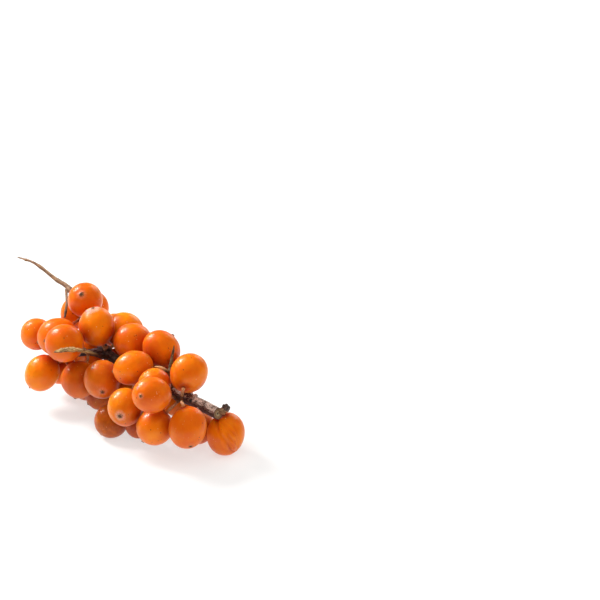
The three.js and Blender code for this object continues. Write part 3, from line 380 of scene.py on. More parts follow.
def line(points, step):
    """Even spacing along the line: points, place 0..1, length from the start."""
    fine, ts = catmull(points, 24)
    arc = np.r_[0, np.cumsum(np.linalg.norm(np.diff(fine, axis=0), axis=1))]
    n = max(4, int(round(arc[-1] / step)))
    s = np.linspace(0, arc[-1], n + 1)
    pts = np.stack([np.interp(s, arc, fine[:, k]) for k in range(3)], 1)
    return pts, np.interp(s, arc, ts), s


def frames_along(pts, start=(0, 0, 1)):
    tang = np.gradient(pts, axis=0)
    tang /= np.linalg.norm(tang, axis=1, keepdims=True)
    side = np.array(start, float)
    sides = []
    for t in tang:
        side = side - t * (side @ t)
        side = side / np.linalg.norm(side)
        sides.append(side)
    sides = np.array(sides)
    return tang, sides, np.cross(tang, sides)


class Rod:
    """A closed bent rod: rings of points with flat or rounded ends."""

    def __init__(self, points, radius, seg, step, squash=(1.0, 1.0), start_round=0.0, end_round=0.8, start=(0, 0, 1)):
        pts, ts, arc = line(points, step)
        tang, u, v = frames_along(pts, start)
        ang = np.linspace(0, 2 * math.pi, seg, endpoint=False)
        ca, sa = np.cos(ang), np.sin(ang)
        rows = []
        r_all = np.array([radius(t, s) for t, s in zip(ts, arc)])
        r0, r1 = r_all[0], r_all[-1]
        if start_round > 0:
            for f in (0.35, 0.7, 0.92):
                rows.append((pts[0] - tang[0] * r0 * start_round * math.sqrt(1 - f * f), u[0], v[0], r0 * f, ts[0], arc[0], tang[0]))
        for i in range(len(pts)):
            rows.append((pts[i], u[i], v[i], r_all[i], ts[i], arc[i], tang[i]))
        for f in (0.92, 0.7, 0.35):
            rows.append((pts[-1] + tang[-1] * r1 * end_round * math.sqrt(1 - f * f), u[-1], v[-1], r1 * f, 1.0, arc[-1], tang[-1]))
        verts, bark, nrm = [], [], []
        for at, uu, vv, r, t, s, tg in rows:
            d = np.outer(ca * squash[0], uu) + np.outer(sa * squash[1], vv)
            verts.append(at + d * r)
            nn = np.outer(ca, uu) + np.outer(sa, vv)
            nrm.append(nn)
            bark.append(np.stack([np.full(seg, s), ca * r, sa * r], 1))
        self.seg = seg
        self.rings = len(rows)
        v0 = pts[0] - tang[0] * r0 * start_round
        v1 = pts[-1] + tang[-1] * r1 * end_round
        self.verts = np.vstack(verts + [v0[None], v1[None]])
        self.normals = np.vstack(nrm + [-tang[0][None], tang[-1][None]])
        self.bark = np.vstack(bark + [np.array([[arc[0], 0, 0]]), np.array([[arc[-1], 0, 0]])])
        self.place = np.r_[np.repeat([row[4] for row in rows], seg), ts[0], 1.0]
        self.arc = self.bark[:, 0]
        self.ang = np.r_[np.tile(ang, len(rows)), 0.0, 0.0]
        self.length = arc[-1]
        a, b = len(rows) * seg, len(rows) * seg + 1
        faces = []
        for i in range(len(rows) - 1):
            for j in range(seg):
                k = (j + 1) % seg
                faces.append((i * seg + j, i * seg + k, (i + 1) * seg + k, (i + 1) * seg + j))
        last = (len(rows) - 1) * seg
        for j in range(seg):
            k = (j + 1) % seg
            faces.append((a, k, j))
            faces.append((b, last + j, last + k))
        self.faces = faces


def joined(parts):
    """Vertices and faces of several closed meshes as one."""
    verts, faces, n = [], [], 0
    for v, f in parts:
        verts.append(v)
        faces += [tuple(i + n for i in face) for face in f]
        n += len(v)
    return np.vstack(verts), faces


def fused(parts, voxel):
    """One skin over several overlapping closed meshes."""
    verts, faces = joined(parts)
    me = bpy.data.meshes.new("fuse")
    me.from_pydata(verts.tolist(), [], faces)
    ob = bpy.data.objects.new("fuse", me)
    scene.collection.objects.link(ob)
    m = ob.modifiers.new("fuse", "REMESH")
    m.mode = "VOXEL"
    m.voxel_size = voxel
    m.adaptivity = 0.0
    s = ob.modifiers.new("smooth", "SMOOTH")
    s.factor = 0.5
    s.iterations = 3
    dg = bpy.context.evaluated_depsgraph_get()
    ev = ob.evaluated_get(dg)
    got = ev.to_mesh()
    v = np.empty(len(got.vertices) * 3)
    got.vertices.foreach_get("co", v)
    f = [tuple(p.vertices) for p in got.polygons]
    nv = np.empty(len(got.vertices) * 3)
    got.vertices.foreach_get("normal", nv)
    ev.to_mesh_clear()
    bpy.data.objects.remove(ob)
    bpy.data.meshes.remove(me)
    return v.reshape(-1, 3), f, nv.reshape(-1, 3)


def nearest_line(verts, lines):
    """Bark coordinates of each vertex from the nearest of some centre lines."""
    best = np.full(len(verts), 1e9)
    out = np.zeros((len(verts), 3))
    frac = np.zeros(len(verts))
    which = np.zeros(len(verts), int)
    for li, points in enumerate(lines):
        pts, ts, arc = line(points, 0.15)
        tang, u, v = frames_along(pts)
        for c in range(0, len(verts), 20000):
            chunk = verts[c : c + 20000]
            d = ((chunk[:, None, :] - pts[None]) ** 2).sum(2)
            k = d.argmin(1)
            dk = np.sqrt(d[np.arange(len(chunk)), k])
            rel = chunk - pts[k]
            o = np.stack([arc[k] + (rel * tang[k]).sum(1) + 11.7 * li, (rel * u[k]).sum(1), (rel * v[k]).sum(1)], 1)
            upd = dk < best[c : c + 20000]
            idx = np.where(upd)[0] + c
            best[idx] = dk[upd]
            out[idx] = o[upd]
            frac[idx] = ts[k][upd]
            which[idx] = li
    return out, frac, which, best


def radius_of(points):
    r = np.array([p[3] for p in points])
    x = np.linspace(0, 1, len(r))
    return lambda t: float(np.interp(t, x, r))


def xyz(points):
    return [p[:3] for p in points]


# --------------------------------------------------------------- materials


class Tree:
    """Short hand for a node material."""

    def __init__(self, name):
        self.m = bpy.data.materials.new(name)
        self.m.use_nodes = True
        self.t = self.m.node_tree
        self.t.nodes.clear()
        self.out = self.t.nodes.new("ShaderNodeOutputMaterial")
        self.bsdf = self.t.nodes.new("ShaderNodeBsdfPrincipled")
        self.t.links.new(self.bsdf.outputs[0], self.out.inputs[0])

    def link(self, a, b):
        self.t.links.new(a, b)

    def put(self, socket, value):
        if isinstance(value, bpy.types.NodeSocket):
            self.link(value, socket)
        elif hasattr(socket, "default_value"):
            if isinstance(value, (tuple, list)) and len(value) == 3 and len(socket.default_value) == 4:
                value = (*value, 1.0)
            socket.default_value = value

    def node(self, kind, props=None, **ins):
        n = self.t.nodes.new(kind)
        for k, v in (props or {}).items():
            setattr(n, k, v)
        for k, v in ins.items():
            self.put(n.inputs[k.replace("_", " ")], v)
        return n

    def attr(self, name, out="Fac"):
        n = self.t.nodes.new("ShaderNodeAttribute")
        n.attribute_name = name
        return n.outputs[out]

    def mm(self):
        c = self.t.nodes.new("ShaderNodeTexCoord")
        s = self.t.nodes.new("ShaderNodeVectorMath")
        s.operation = "SCALE"
        self.link(c.outputs["Object"], s.inputs[0])
        s.inputs["Scale"].default_value = 1000.0
        return s.outputs[0]

    def stretch(self, vector, scale):
        s = self.t.nodes.new("ShaderNodeVectorMath")
        s.operation = "MULTIPLY"
        self.link(vector, s.inputs[0])
        s.inputs[1].default_value = scale
        return s.outputs[0]

    def noise(self, vector, scale, detail=2.0, rough=0.5, distort=0.0, out="Fac"):
        n = self.node("ShaderNodeTexNoise", None, Vector=vector, Scale=scale, Detail=detail, Roughness=rough, Distortion=distort)
        return n.outputs[out]

    def spots(self, vector, scale, rand=1.0):
        n = self.node("ShaderNodeTexVoronoi", {"feature": "F1"}, Vector=vector, Scale=scale, Randomness=rand)
        return n.outputs["Distance"], n.outputs["Color"]

    def math(self, op, a, b=0.0, c=None, clamp=False):
        n = self.t.nodes.new("ShaderNodeMath")
        n.operation = op
        n.use_clamp = clamp
        self.put(n.inputs[0], a)
        self.put(n.inputs[1], b)
        if c is not None:
            self.put(n.inputs[2], c)
        return n.outputs[0]

    def ramp(self, value, a, b, lo=0.0, hi=1.0, smooth=True):
        n = self.t.nodes.new("ShaderNodeMapRange")
        n.interpolation_type = "SMOOTHSTEP" if smooth else "LINEAR"
        n.clamp = True
        self.put(n.inputs["Value"], value)
        self.put(n.inputs["From Min"], a)
        self.put(n.inputs["From Max"], b)
        self.put(n.inputs["To Min"], lo)
        self.put(n.inputs["To Max"], hi)
        return n.outputs[0]

    def mix(self, fac, a, b, blend="MIX"):
        n = self.t.nodes.new("ShaderNodeMix")
        n.data_type = "RGBA"
        n.blend_type = blend
        self.put(n.inputs[0], fac)
        self.put(n.inputs[6], a)
        self.put(n.inputs[7], b)
        return n.outputs[2]

    def bump(self, height, distance, strength=1.0, normal=None):
        n = self.t.nodes.new("ShaderNodeBump")
        n.inputs["Strength"].default_value = strength
        n.inputs["Distance"].default_value = distance
        self.put(n.inputs["Height"], height)
        if normal is not None:
            self.link(normal, n.inputs["Normal"])
        return n.outputs[0]

    def upward(self):
        g = self.t.nodes.new("ShaderNodeNewGeometry")
        s = self.t.nodes.new("ShaderNodeSeparateXYZ")
        self.link(g.outputs["Normal"], s.inputs[0])
        return s.outputs[2]

    def set(self, **values):
        for k, v in values.items():
            self.put(self.bsdf.inputs[k.replace("_", " ")], v)


def rgb(r, g, b):
    """A colour given as 0-255 display numbers."""
    def lin(c):
        c /= 255.0
        return c / 12.92 if c <= 0.04045 else ((c + 0.055) / 1.055) ** 2.4
    return (lin(r), lin(g), lin(b))


def skin_material(name, deep, ripe, light):
    m = Tree(name)
    mm = m.mm()
    tone = m.attr("tone")
    # broad and fine drift of ripeness
    broad = m.noise(mm, 0.22, 2.0)
    fine = m.noise(mm, 1.1, 3.0, 0.55)
    f = m.math("ADD", m.ramp(broad, 0.30, 0.70, 0.25, 0.95), m.math("MULTIPLY", m.math("SUBTRACT", fine, 0.5), 0.25))
    f = m.math("ADD", f, tone, clamp=True)
    col = m.mix(f, deep, ripe)
    blush = m.ramp(m.noise(mm, 0.5, 3.0, 0.6), 0.56, 0.80, 0.0, 0.16)
    col = m.mix(blush, col, light)
    # veins under the skin that run from the stalk to the calyx
    vein = m.noise(m.stretch(m.attr("skin", "Vector"), (9.0, 9.0, 0.35)), 1.0, 2.0, 0.6)
    col = m.mix(m.ramp(vein, 0.56, 0.74, 0.0, 0.10), col, light)
    col = m.mix(m.ramp(vein, 0.28, 0.44, 0.10, 0.0), col, deep)
    # painted shade: the skin is painted deeper red where it is turned down, away from the light above
    low = m.ramp(m.math("ADD", m.upward(), m.math("MULTIPLY", m.math("SUBTRACT", broad, 0.5), 0.5)), -0.75, 0.30, 0.14, 0.0)
    col = m.mix(low, col, rgb(206, 66, 2))
    # painted shade: sides turned into the crowd, where neighbours shade them, are painted a deep red
    col = m.mix(m.math("MULTIPLY", m.attr("painted_crowd_shade"), m.ramp(fine, 0.3, 0.65, 0.8, 1.0)), col, rgb(180, 44, 10))
    # painted shade: the skin is painted redder down in a crease
    col = m.mix(m.math("MULTIPLY", m.attr("painted_crease_shade"), 0.38, clamp=True), col, rgb(196, 66, 6))
    # scurfy silver patch
    scurf = m.attr("scurf")
    flake = m.noise(mm, 5.0, 3.0, 0.7)
    scurf = m.ramp(m.math("ADD", scurf, m.math("MULTIPLY", m.math("SUBTRACT", flake, 0.5), 0.9)), 0.35, 0.65)
    col = m.mix(m.math("MULTIPLY", scurf, 0.8), col, m.mix(m.ramp(flake, 0.4, 0.6), rgb(196, 138, 104), rgb(240, 206, 186)))
    # berries low in the crowd are painted browner: partly a browner skin, partly painted shade from the berries above
    col = m.mix(m.math("MULTIPLY", m.attr("brown_and_painted_shade"), m.ramp(fine, 0.3, 0.6, 0.75, 1.0)), col, rgb(124, 46, 10))
    # painted shade in the dip where the stalk enters: deep red round it, brown right at the stalk
    stalkd = m.attr("stalkd")
    near = m.math("ADD", stalkd, m.math("MULTIPLY", fine, 0.8))
    col = m.mix(m.ramp(near, 1.1, 2.7, 0.80, 0.0), col, rgb(184, 60, 10))
    col = m.mix(m.ramp(near, 0.65, 1.05, 0.70, 0.0), col, rgb(110, 54, 24))
    # tiny silver scales, made brighter and more on the upper side: partly real scales, partly painted glints where the
    # light catches them
    d1, c1 = m.spots(mm, 1.25)
    scales_and_glints = m.math("MULTIPLY", m.ramp(d1, 0.07, 0.15, 1.0, 0.0), m.ramp(m.noise(mm, 0.42, 2.0), 0.52, 0.63))
    scales_and_glints = m.math("MULTIPLY", scales_and_glints, m.ramp(m.upward(), -0.3, 0.5, 0.15, 1.0))
    col = m.mix(m.math("MULTIPLY", scales_and_glints, 0.8), col, rgb(255, 212, 168))
    # dark corky specks
    d2, c2 = m.spots(mm, 0.74)
    sep = m.node("ShaderNodeSeparateColor", None, Color=c2)
    speck = m.math("MULTIPLY", m.ramp(d2, 0.06, 0.115, 1.0, 0.0), m.ramp(sep.outputs[0], 0.38, 0.46))
    col = m.mix(m.math("MULTIPLY", speck, 0.9), col, rgb(92, 40, 14))
    # the calyx scar: pale puckered halo, grey-brown ring, dark middle
    tipd = m.attr("tipd")
    wob = m.math("ADD", tipd, m.math("MULTIPLY", m.math("SUBTRACT", m.noise(mm, 3.2, 2.0), 0.5), 0.7))
    pale = m.attr("pale")
    halo = m.math("MULTIPLY", m.ramp(m.math("DIVIDE", wob, m.attr("halo")), 0.55, 1.50, 1.0, 0.0), pale)
    col = m.mix(halo, col, rgb(232, 166, 134))
    ring = m.ramp(wob, 0.34, 0.80, 0.85, 0.0)
    ring_col = m.mix(m.ramp(m.noise(mm, 6.0, 2.0), 0.38, 0.62), rgb(104, 62, 34), rgb(180, 130, 92))
    col = m.mix(ring, col, ring_col)
    core = m.ramp(wob, 0.12, 0.36, 0.8, 0.0)
    col = m.mix(core, col, rgb(64, 38, 24))
    # gloss
    rough = m.math("ADD", 0.28, m.math("MULTIPLY", m.noise(mm, 2.6, 3.0), 0.18))
    rough = m.math("ADD", rough, m.math("MULTIPLY", ring, 0.35))
    rough = m.math("ADD", rough, m.math("MULTIPLY", scurf, 0.25))
    rough = m.math("ADD", rough, m.math("MULTIPLY", scales_and_glints, 0.2), clamp=True)
    h = m.math("ADD", m.math("MULTIPLY", m.noise(mm, 5.5, 3.0, 0.55), 0.35), m.math("MULTIPLY", m.noise(mm, 1.7, 2.0), 0.8))
    h = m.math("ADD", h, m.math("MULTIPLY", scales_and_glints, 0.5))
    h = m.math("ADD", h, m.math("MULTIPLY", m.math("MULTIPLY", scurf, flake), 1.6))
    h = m.math("SUBTRACT", h, m.math("MULTIPLY", speck, 0.5))
    h = m.math("ADD", h, m.math("MULTIPLY", vein, 0.25))
    m.set(Base_Color=col, Roughness=rough, Normal=m.bump(h, 0.00010, 0.85))
    m.set(Sheen_Weight=0.03, Sheen_Roughness=0.35, Sheen_Tint=(1.0, 0.80, 0.66, 1.0))
    m.set(Subsurface_Weight=0.55, Subsurface_Radius=(1.0, 0.34, 0.06), Subsurface_Scale=0.0028)
    m.set(Specular_IOR_Level=0.17, Coat_Weight=0.22, Coat_Roughness=0.14)
    return m.m


def bark_material(name, dark, mid, pale, bloom_highlight_col, bloom_highlight_amount, cut=False, tip_dark=None, rough=0.62, flank=0.0):
    m = Tree(name)
    mm = m.mm()
    bark = m.attr("bark", "Vector")
    ridge = m.noise(m.stretch(bark, (0.45, 2.6, 2.6)), 1.0, 4.0, 0.6, 0.3)
    grain = m.noise(m.stretch(bark, (1.5, 9.0, 9.0)), 1.0, 3.0, 0.6)
    patch = m.noise(mm, 0.55, 3.0, 0.6)
    col = m.mix(m.ramp(ridge, 0.36, 0.62), dark, mid)
    col = m.mix(m.ramp(grain, 0.5, 0.78, 0.0, 0.6), col, pale)
    # pale bloom on the upper side: partly the bark's own bloom, partly painted highlight where the light falls
    up = m.ramp(m.upward(), -0.1, 0.75)
    bloom_and_highlight = m.math("MULTIPLY", m.ramp(m.math("ADD", patch, m.math("MULTIPLY", grain, 0.35)), 0.5, 0.82), up)
    col = m.mix(m.math("MULTIPLY", bloom_and_highlight, bloom_highlight_amount), col, bloom_highlight_col)
    # corky pores
    d, c = m.spots(m.stretch(bark, (1.1, 2.3, 2.3)), 1.0)
    pore = m.ramp(d, 0.13, 0.22, 1.0, 0.0)
    col = m.mix(m.math("MULTIPLY", pore, 0.55), col, pale)
    crack = m.ramp(m.noise(m.stretch(bark, (0.8, 5.0, 5.0)), 1.0, 3.0, 0.7, 0.6), 0.30, 0.40, 1.0, 0.0)
    col = m.mix(m.math("MULTIPLY", crack, 0.8), col, dark)
    wear = m.attr("wear")
    if tip_dark is not None:
        col = m.mix(wear, col, tip_dark)
    if flank:                          # the shaded underside is darker
        under = m.ramp(m.upward(), -0.45, 0.35, 1.0, 0.0)
        col = m.mix(m.math("MULTIPLY", under, m.ramp(ridge, 0.25, 0.6, flank, flank * 0.5)), col, dark)
    if cut:
        face = m.attr("face")          # 0 in the middle of the cut, 1 at its rim, over 1 on the bark
        on = m.ramp(face, 0.9, 1.0, 1.0, 0.0)
        rings = m.math("SINE", m.math("MULTIPLY", m.math("ADD", face, m.math("MULTIPLY", patch, 0.12)), 34.0))
        ray = m.noise(m.stretch(mm, (3.0, 3.0, 3.0)), 1.0, 3.0)
        wood = m.mix(m.ramp(rings, -1.0, 1.0, 0.0, 0.5), rgb(196, 152, 98), rgb(150, 104, 58))
        wood = m.mix(m.ramp(ray, 0.4, 0.7, 0.0, 0.5), wood, rgb(120, 78, 44))
        wood = m.mix(m.ramp(face, 0.2, 0.3, 1.0, 0.0), wood, rgb(226, 204, 160))
        wood = m.mix(m.ramp(face, 0.70, 0.84, 0.0, 1.0), wood, rgb(92, 54, 34))
        col = m.mix(on, col, wood)
    r = m.math("ADD", rough - 0.1, m.math("MULTIPLY", ridge, 0.25), clamp=True)
    h = m.math("ADD", m.math("MULTIPLY", ridge, 0.8), m.math("MULTIPLY", grain, 0.35))
    h = m.math("SUBTRACT", h, m.math("MULTIPLY", crack, 0.5))
    h = m.math("ADD", h, m.math("MULTIPLY", pore, 0.2))
    m.set(Base_Color=col, Roughness=r, Normal=m.bump(h, 0.00009, 0.9))
    m.set(Specular_IOR_Level=0.4)
    return m.m


def stalk_material(name, low=rgb(150, 96, 56), high=rgb(222, 170, 122)):
    m = Tree(name)
    mm = m.mm()
    bark = m.attr("bark", "Vector")
    streak = m.noise(m.stretch(bark, (0.9, 6.0, 6.0)), 1.0, 3.0, 0.6)
    patch = m.noise(mm, 0.8, 2.0)
    col = m.mix(m.ramp(streak, 0.34, 0.66), low, high)
    col = m.mix(m.ramp(patch, 0.45, 0.7, 0.0, 0.5), col, rgb(190, 108, 62))
    end = m.attr("wear")               # 0 at the bark, 1 at the berry
    col = m.mix(m.ramp(end, 0.0, 0.38, 0.95, 0.0), col, rgb(66, 38, 24))
    col = m.mix(m.ramp(end, 0.8, 1.0, 0.0, 0.6), col, rgb(214, 128, 66))
    d, c = m.spots(mm, 2.2)
    col = m.mix(m.ramp(d, 0.10, 0.2, 0.6, 0.0), col, rgb(96, 56, 32))
    h = m.math("ADD", streak, m.math("MULTIPLY", m.noise(mm, 6.0, 2.0), 0.5))
    m.set(Base_Color=col, Roughness=m.math("ADD", 0.45, m.math("MULTIPLY", streak, 0.25)), Normal=m.bump(h, 0.00005, 0.8))
    m.set(Subsurface_Weight=0.12, Subsurface_Radius=(1.0, 0.5, 0.25), Subsurface_Scale=0.0006, Specular_IOR_Level=0.4)
    return m.m


def calyx_material(name):
    m = Tree(name)
    mm = m.mm()
    n = m.noise(mm, 6.0, 3.0, 0.6)
    col = m.mix(m.ramp(n, 0.35, 0.65), rgb(72, 46, 30), rgb(150, 114, 84))
    m.set(Base_Color=col, Roughness=0.75, Normal=m.bump(n, 0.00006, 0.9), Specular_IOR_Level=0.3)
    return m.m


SKINS = {
    "berry_skin_ripe": skin_material("skin_ripe", rgb(224, 98, 2), rgb(246, 134, 3), rgb(248, 162, 56)),
    "berry_skin_pale": skin_material("skin_pale", rgb(230, 106, 3), rgb(249, 141, 4), rgb(250, 168, 66)),
    "berry_skin_deep": skin_material("skin_deep", rgb(216, 88, 2), rgb(242, 125, 3), rgb(246, 152, 50)),
}
OLD_BARK = bark_material("bark_old", rgb(34, 18, 14), rgb(70, 42, 34), rgb(112, 82, 70), rgb(164, 138, 134), 0.75, cut=True)
PALE_BARK = bark_material("bark_pale", rgb(92, 54, 24), rgb(222, 176, 106), rgb(250, 218, 152), rgb(246, 220, 170), 0.35, tip_dark=rgb(44, 24, 14), flank=0.85)
OLIVE_BARK = bark_material("bark_olive", rgb(30, 20, 10), rgb(78, 56, 28), rgb(184, 146, 90), rgb(186, 158, 110), 0.4, tip_dark=rgb(232, 190, 132), flank=0.55)
YOUNG_BARK = bark_material("bark_young", rgb(78, 50, 30), rgb(144, 102, 66), rgb(184, 140, 96), rgb(176, 150, 120), 0.4, tip_dark=rgb(84, 60, 42))
STALK = stalk_material("stalk_skin")
# painted shade: a darker, redder copy of the stalk colours for stalks deep in the crowd
STALK_SHADED = stalk_material("stalk_painted_shade", rgb(150, 62, 14), rgb(206, 104, 36))
CALYX = calyx_material("calyx_dry")

# ----------------------------------------------------------------- berries


def euler_matrix(deg):
    x, y, z = [math.radians(a) for a in deg]
    rx = np.array([[1, 0, 0], [0, math.cos(x), -math.sin(x)], [0, math.sin(x), math.cos(x)]])
    ry = np.array([[math.cos(y), 0, math.sin(y)], [0, 1, 0], [-math.sin(y), 0, math.cos(y)]])
    rz = np.array([[math.cos(z), -math.sin(z), 0], [math.sin(z), math.cos(z), 0], [0, 0, 1]])
    return rx @ ry @ rz


def front():
    """Across, up and out on the side of the sprig with the most marks, as fixed directions of the part."""
    return (np.array([0.66913, 0.74314, 0.0]), np.array([-0.30463, 0.27429, 0.91212]), np.array([0.67784, -0.61033, 0.40992]))


RING_FINE = np.r_[np.arange(0.9, 13, 0.9), np.arange(13.5, 179, 1.6)]
RING_DEG = np.r_[np.arange(0.9, 13, 0.9), np.arange(13.5, 22, 1.3), np.arange(23, 42, 2.2), np.arange(44, 179, 3.6)]

# Fine creases: berry, list of (place across the berry, place up it, width mm,
# depth mm); each runs from the stalk end to the calyx end through that place.
CREASES = {
    "berry_01": [(-0.20, 0.0, 0.40, 0.52), (0.04, 0.0, 0.22, 0.20), (0.22, 0.0, 0.24, 0.26), (0.44, 0.0, 0.26, 0.20), (0.66, 0.0, 0.24, 0.16), (-0.48, 0.0, 0.26, 0.10)],
}
# How brown some berries are painted: partly a browner skin, partly painted shade from the berries above them.
BROWN_AND_PAINTED_SHADE = {"berry_22": 0.60, "berry_16": 0.68, "berry_11": 0.62, "berry_17": 0.26, "berry_23": 0.30, "berry_10": 0.16, "berry_03": 0.22, "berry_09": 0.2,
         "berry_18": 0.5, "berry_27": 0.5, "berry_19": 0.4, "berry_15": 0.3, "berry_21": 0.5, "berry_12": 0.5, "berry_28": 0.5}
# How pale the skin is round the calyx, where it stands out.
TIP_PALE = {"berry_10": 0.9, "berry_05": 0.3, "berry_17": 0.3, "berry_02": 0.15, "berry_31": 0.45, "berry_33": 0.2, "berry_25": 0.8}
# How wide the calyx scar is, against the usual one.
TIP_SIZE = {"berry_10": 1.1, "berry_05": 0.72, "berry_17": 1.0, "berry_32": 1.1, "berry_33": 0.5, "berry_04": 0.6}
# Painted shade: how deep red a berry is painted where a neighbour almost touches it (default 0.65).
PAINTED_CROWD_SHADE = {"berry_33": 0.95, "berry_25": 0.9, "berry_32": 0.15, "berry_31": 0.4}
# A scurfy silver patch: berry, (across, up, radius mm).
SCURF = {"berry_25": (-0.26, 0.90, 2.1), "berry_05": (-0.62, 0.42, 0.9), "berry_17": (-0.45, 0.62, 1.0)}
# How far the pale halo reaches, against the usual one.
HALO = {"berry_25": 1.6, "berry_10": 1.0}
# Short bowed wrinkles: berry, (across, up, length, spacing, count, depth)
WRINKLES = {
    "berry_05": [(-0.42, 0.78, 1.2, 0.44, 2, 0.04)],
    "berry_07": [(-0.42, 0.62, 1.9, 0.50, 5, 0.06)],
}


def berry_piece(index, row):
    name, centre, size, turn, tip, stalk = row
    centre, size = np.array(centre), np.array(size)
    rot = euler_matrix(turn)
    tip, stalk = np.array(tip), np.array(stalk)
    axis = (rot.T @ tip) / size
    axis /= np.linalg.norm(axis)
    ref = np.array([1.0, 0, 0]) if abs(axis[0]) < 0.8 else np.array([0, 1.0, 0])
    e1 = ref - axis * (ref @ axis)
    e1 /= np.linalg.norm(e1)
    e2 = np.cross(axis, e1)
    seed = 100 + index * 17
    fine = name in CREASES or name in WRINKLES or name in HALO
    SEG = 160 if fine else 80
    th = np.radians(RING_FINE if fine else RING_DEG)
    ph = np.linspace(0, 2 * math.pi, SEG, endpoint=False)
    T, P = np.meshgrid(th, ph, indexing="ij")
    d = (np.cos(T)[..., None] * axis + (np.sin(T) * np.cos(P))[..., None] * e1 + (np.sin(T) * np.sin(P))[..., None] * e2).reshape(-1, 3)
    d = np.vstack([d, axis[None], -axis[None]])
    az = np.r_[P.ravel(), 0, 0]
    base = (d * size) @ rot.T + centre
    nl = d / size
    nl /= np.linalg.norm(nl, axis=1, keepdims=True)
    nrm = nl @ rot.T
    pole = (axis * size) @ rot.T + centre
    foot_dir = (rot.T @ stalk)
    k = 1 / np.sqrt(((foot_dir / size) ** 2).sum())
    foot = centre + rot @ (foot_dir * k)
    wide = TIP_SIZE.get(name, 0.85)
    tipd = np.linalg.norm(base - pole, axis=1) / wide
    stalkd = np.linalg.norm(base - foot, axis=1)
    # uneven skin, always inward so that neighbours stay clear
    h = -0.075 + 0.07 * fbm(d * 1.5 + index * 3.1, 2, seed)
    h += -0.012 + 0.012 * noise(d * 5.0 + index, seed + 5)
    # dip where the stalk enters, with a low shoulder
    h += -0.20 * np.exp(-((stalkd / 0.62) ** 2)) + 0.03 * np.exp(-(((stalkd - 1.1) / 0.4) ** 2))
    # puckered calyx scar
    kf = 9 + index % 4
    fold = np.cos(kf * az + 1.3 * np.sin(3 * az + index))
    h += -0.06 * np.exp(-(((tipd - 0.95) / 0.42) ** 2))
    h += 0.035 * fold * np.exp(-(((tipd - 0.80) / 0.34) ** 2))
    h += 0.09 * np.exp(-((tipd / 0.58) ** 4)) * (1 + 0.35 * np.cos(5 * az + index))
    h += -0.06 * np.exp(-((tipd / 0.24) ** 2))
    if name in HALO:     # scurfy skin round the scar
        h += (0.05 * np.abs(noise(d * 16.0, seed + 31)) - 0.035) * np.exp(-((tipd / (1.35 * HALO[name])) ** 4)) * smoothstep(tipd, 0.5, 0.9)
    painted_crease_shade = np.zeros(len(base))
    if name in CREASES:
        r, u, w = front()
        for cx, cy, width, depth in CREASES[name]:
            q = cx * r + cy * u + math.sqrt(max(0.0, 1 - cx * cx - cy * cy)) * w
            q = rot.T @ q
            a0 = math.atan2(q @ e2, q @ e1)
            lat = np.sin(np.arccos(np.clip(d @ axis, -1, 1)))
            wob = 0.05 * np.sin(5 * (d @ axis) + 9 * cx)
            da = (az - a0 - wob + math.pi) % (2 * math.pi) - math.pi
            across = np.abs(da) * lat * size.mean()
            keep = smoothstep(tipd, 1.2, 2.6) * smoothstep(stalkd, 0.9, 1.8) * (np.abs(da) < 1.2)
            fold = np.exp(-((across / width) ** 2)) * keep * (0.75 + 0.25 * np.sin(4 * (d @ axis) + 3 * cx))
            h += -depth * fold
            # painted shade down in the crease
            painted_crease_shade = np.maximum(painted_crease_shade, min(1.0, depth / 0.3) * fold)
    if name in WRINKLES:
        r, u, w = front()
        for cx, cy, length, spacing, count, depth in WRINKLES[name]:
            c0 = cx * r + cy * u + math.sqrt(max(0.0, 1 - cx * cx - cy * cy)) * w
            rel = nrm - c0
            out = cx * r + cy * u
            out /= np.linalg.norm(out)
            side = np.cross(out, w)
            a = (rel @ out) * size.mean()
            s = (rel @ side) * size.mean()
            a = a + 0.12 * s * s
            win = np.exp(-((s / length) ** 4))
            for i in range(count):
                h += -depth * np.exp(-(((a - (i - count / 2) * spacing) / (spacing * 0.28)) ** 2)) * win * (nrm @ w > 0)
    # painted shade for berries low in the crowd, partly a browner skin
    brown_and_painted_shade = np.full(len(base), BROWN_AND_PAINTED_SHADE.get(name, 0.0))
    # painted shade: berry_01 is painted darker on one side of its creases
    if name in CREASES:
        brown_and_painted_shade = np.maximum(brown_and_painted_shade, 0.10 * smoothstep(-(nrm @ front()[0]), 0.02, 0.60))
    painted_crowd_shade, scurf = np.zeros(len(base)), np.zeros(len(base))
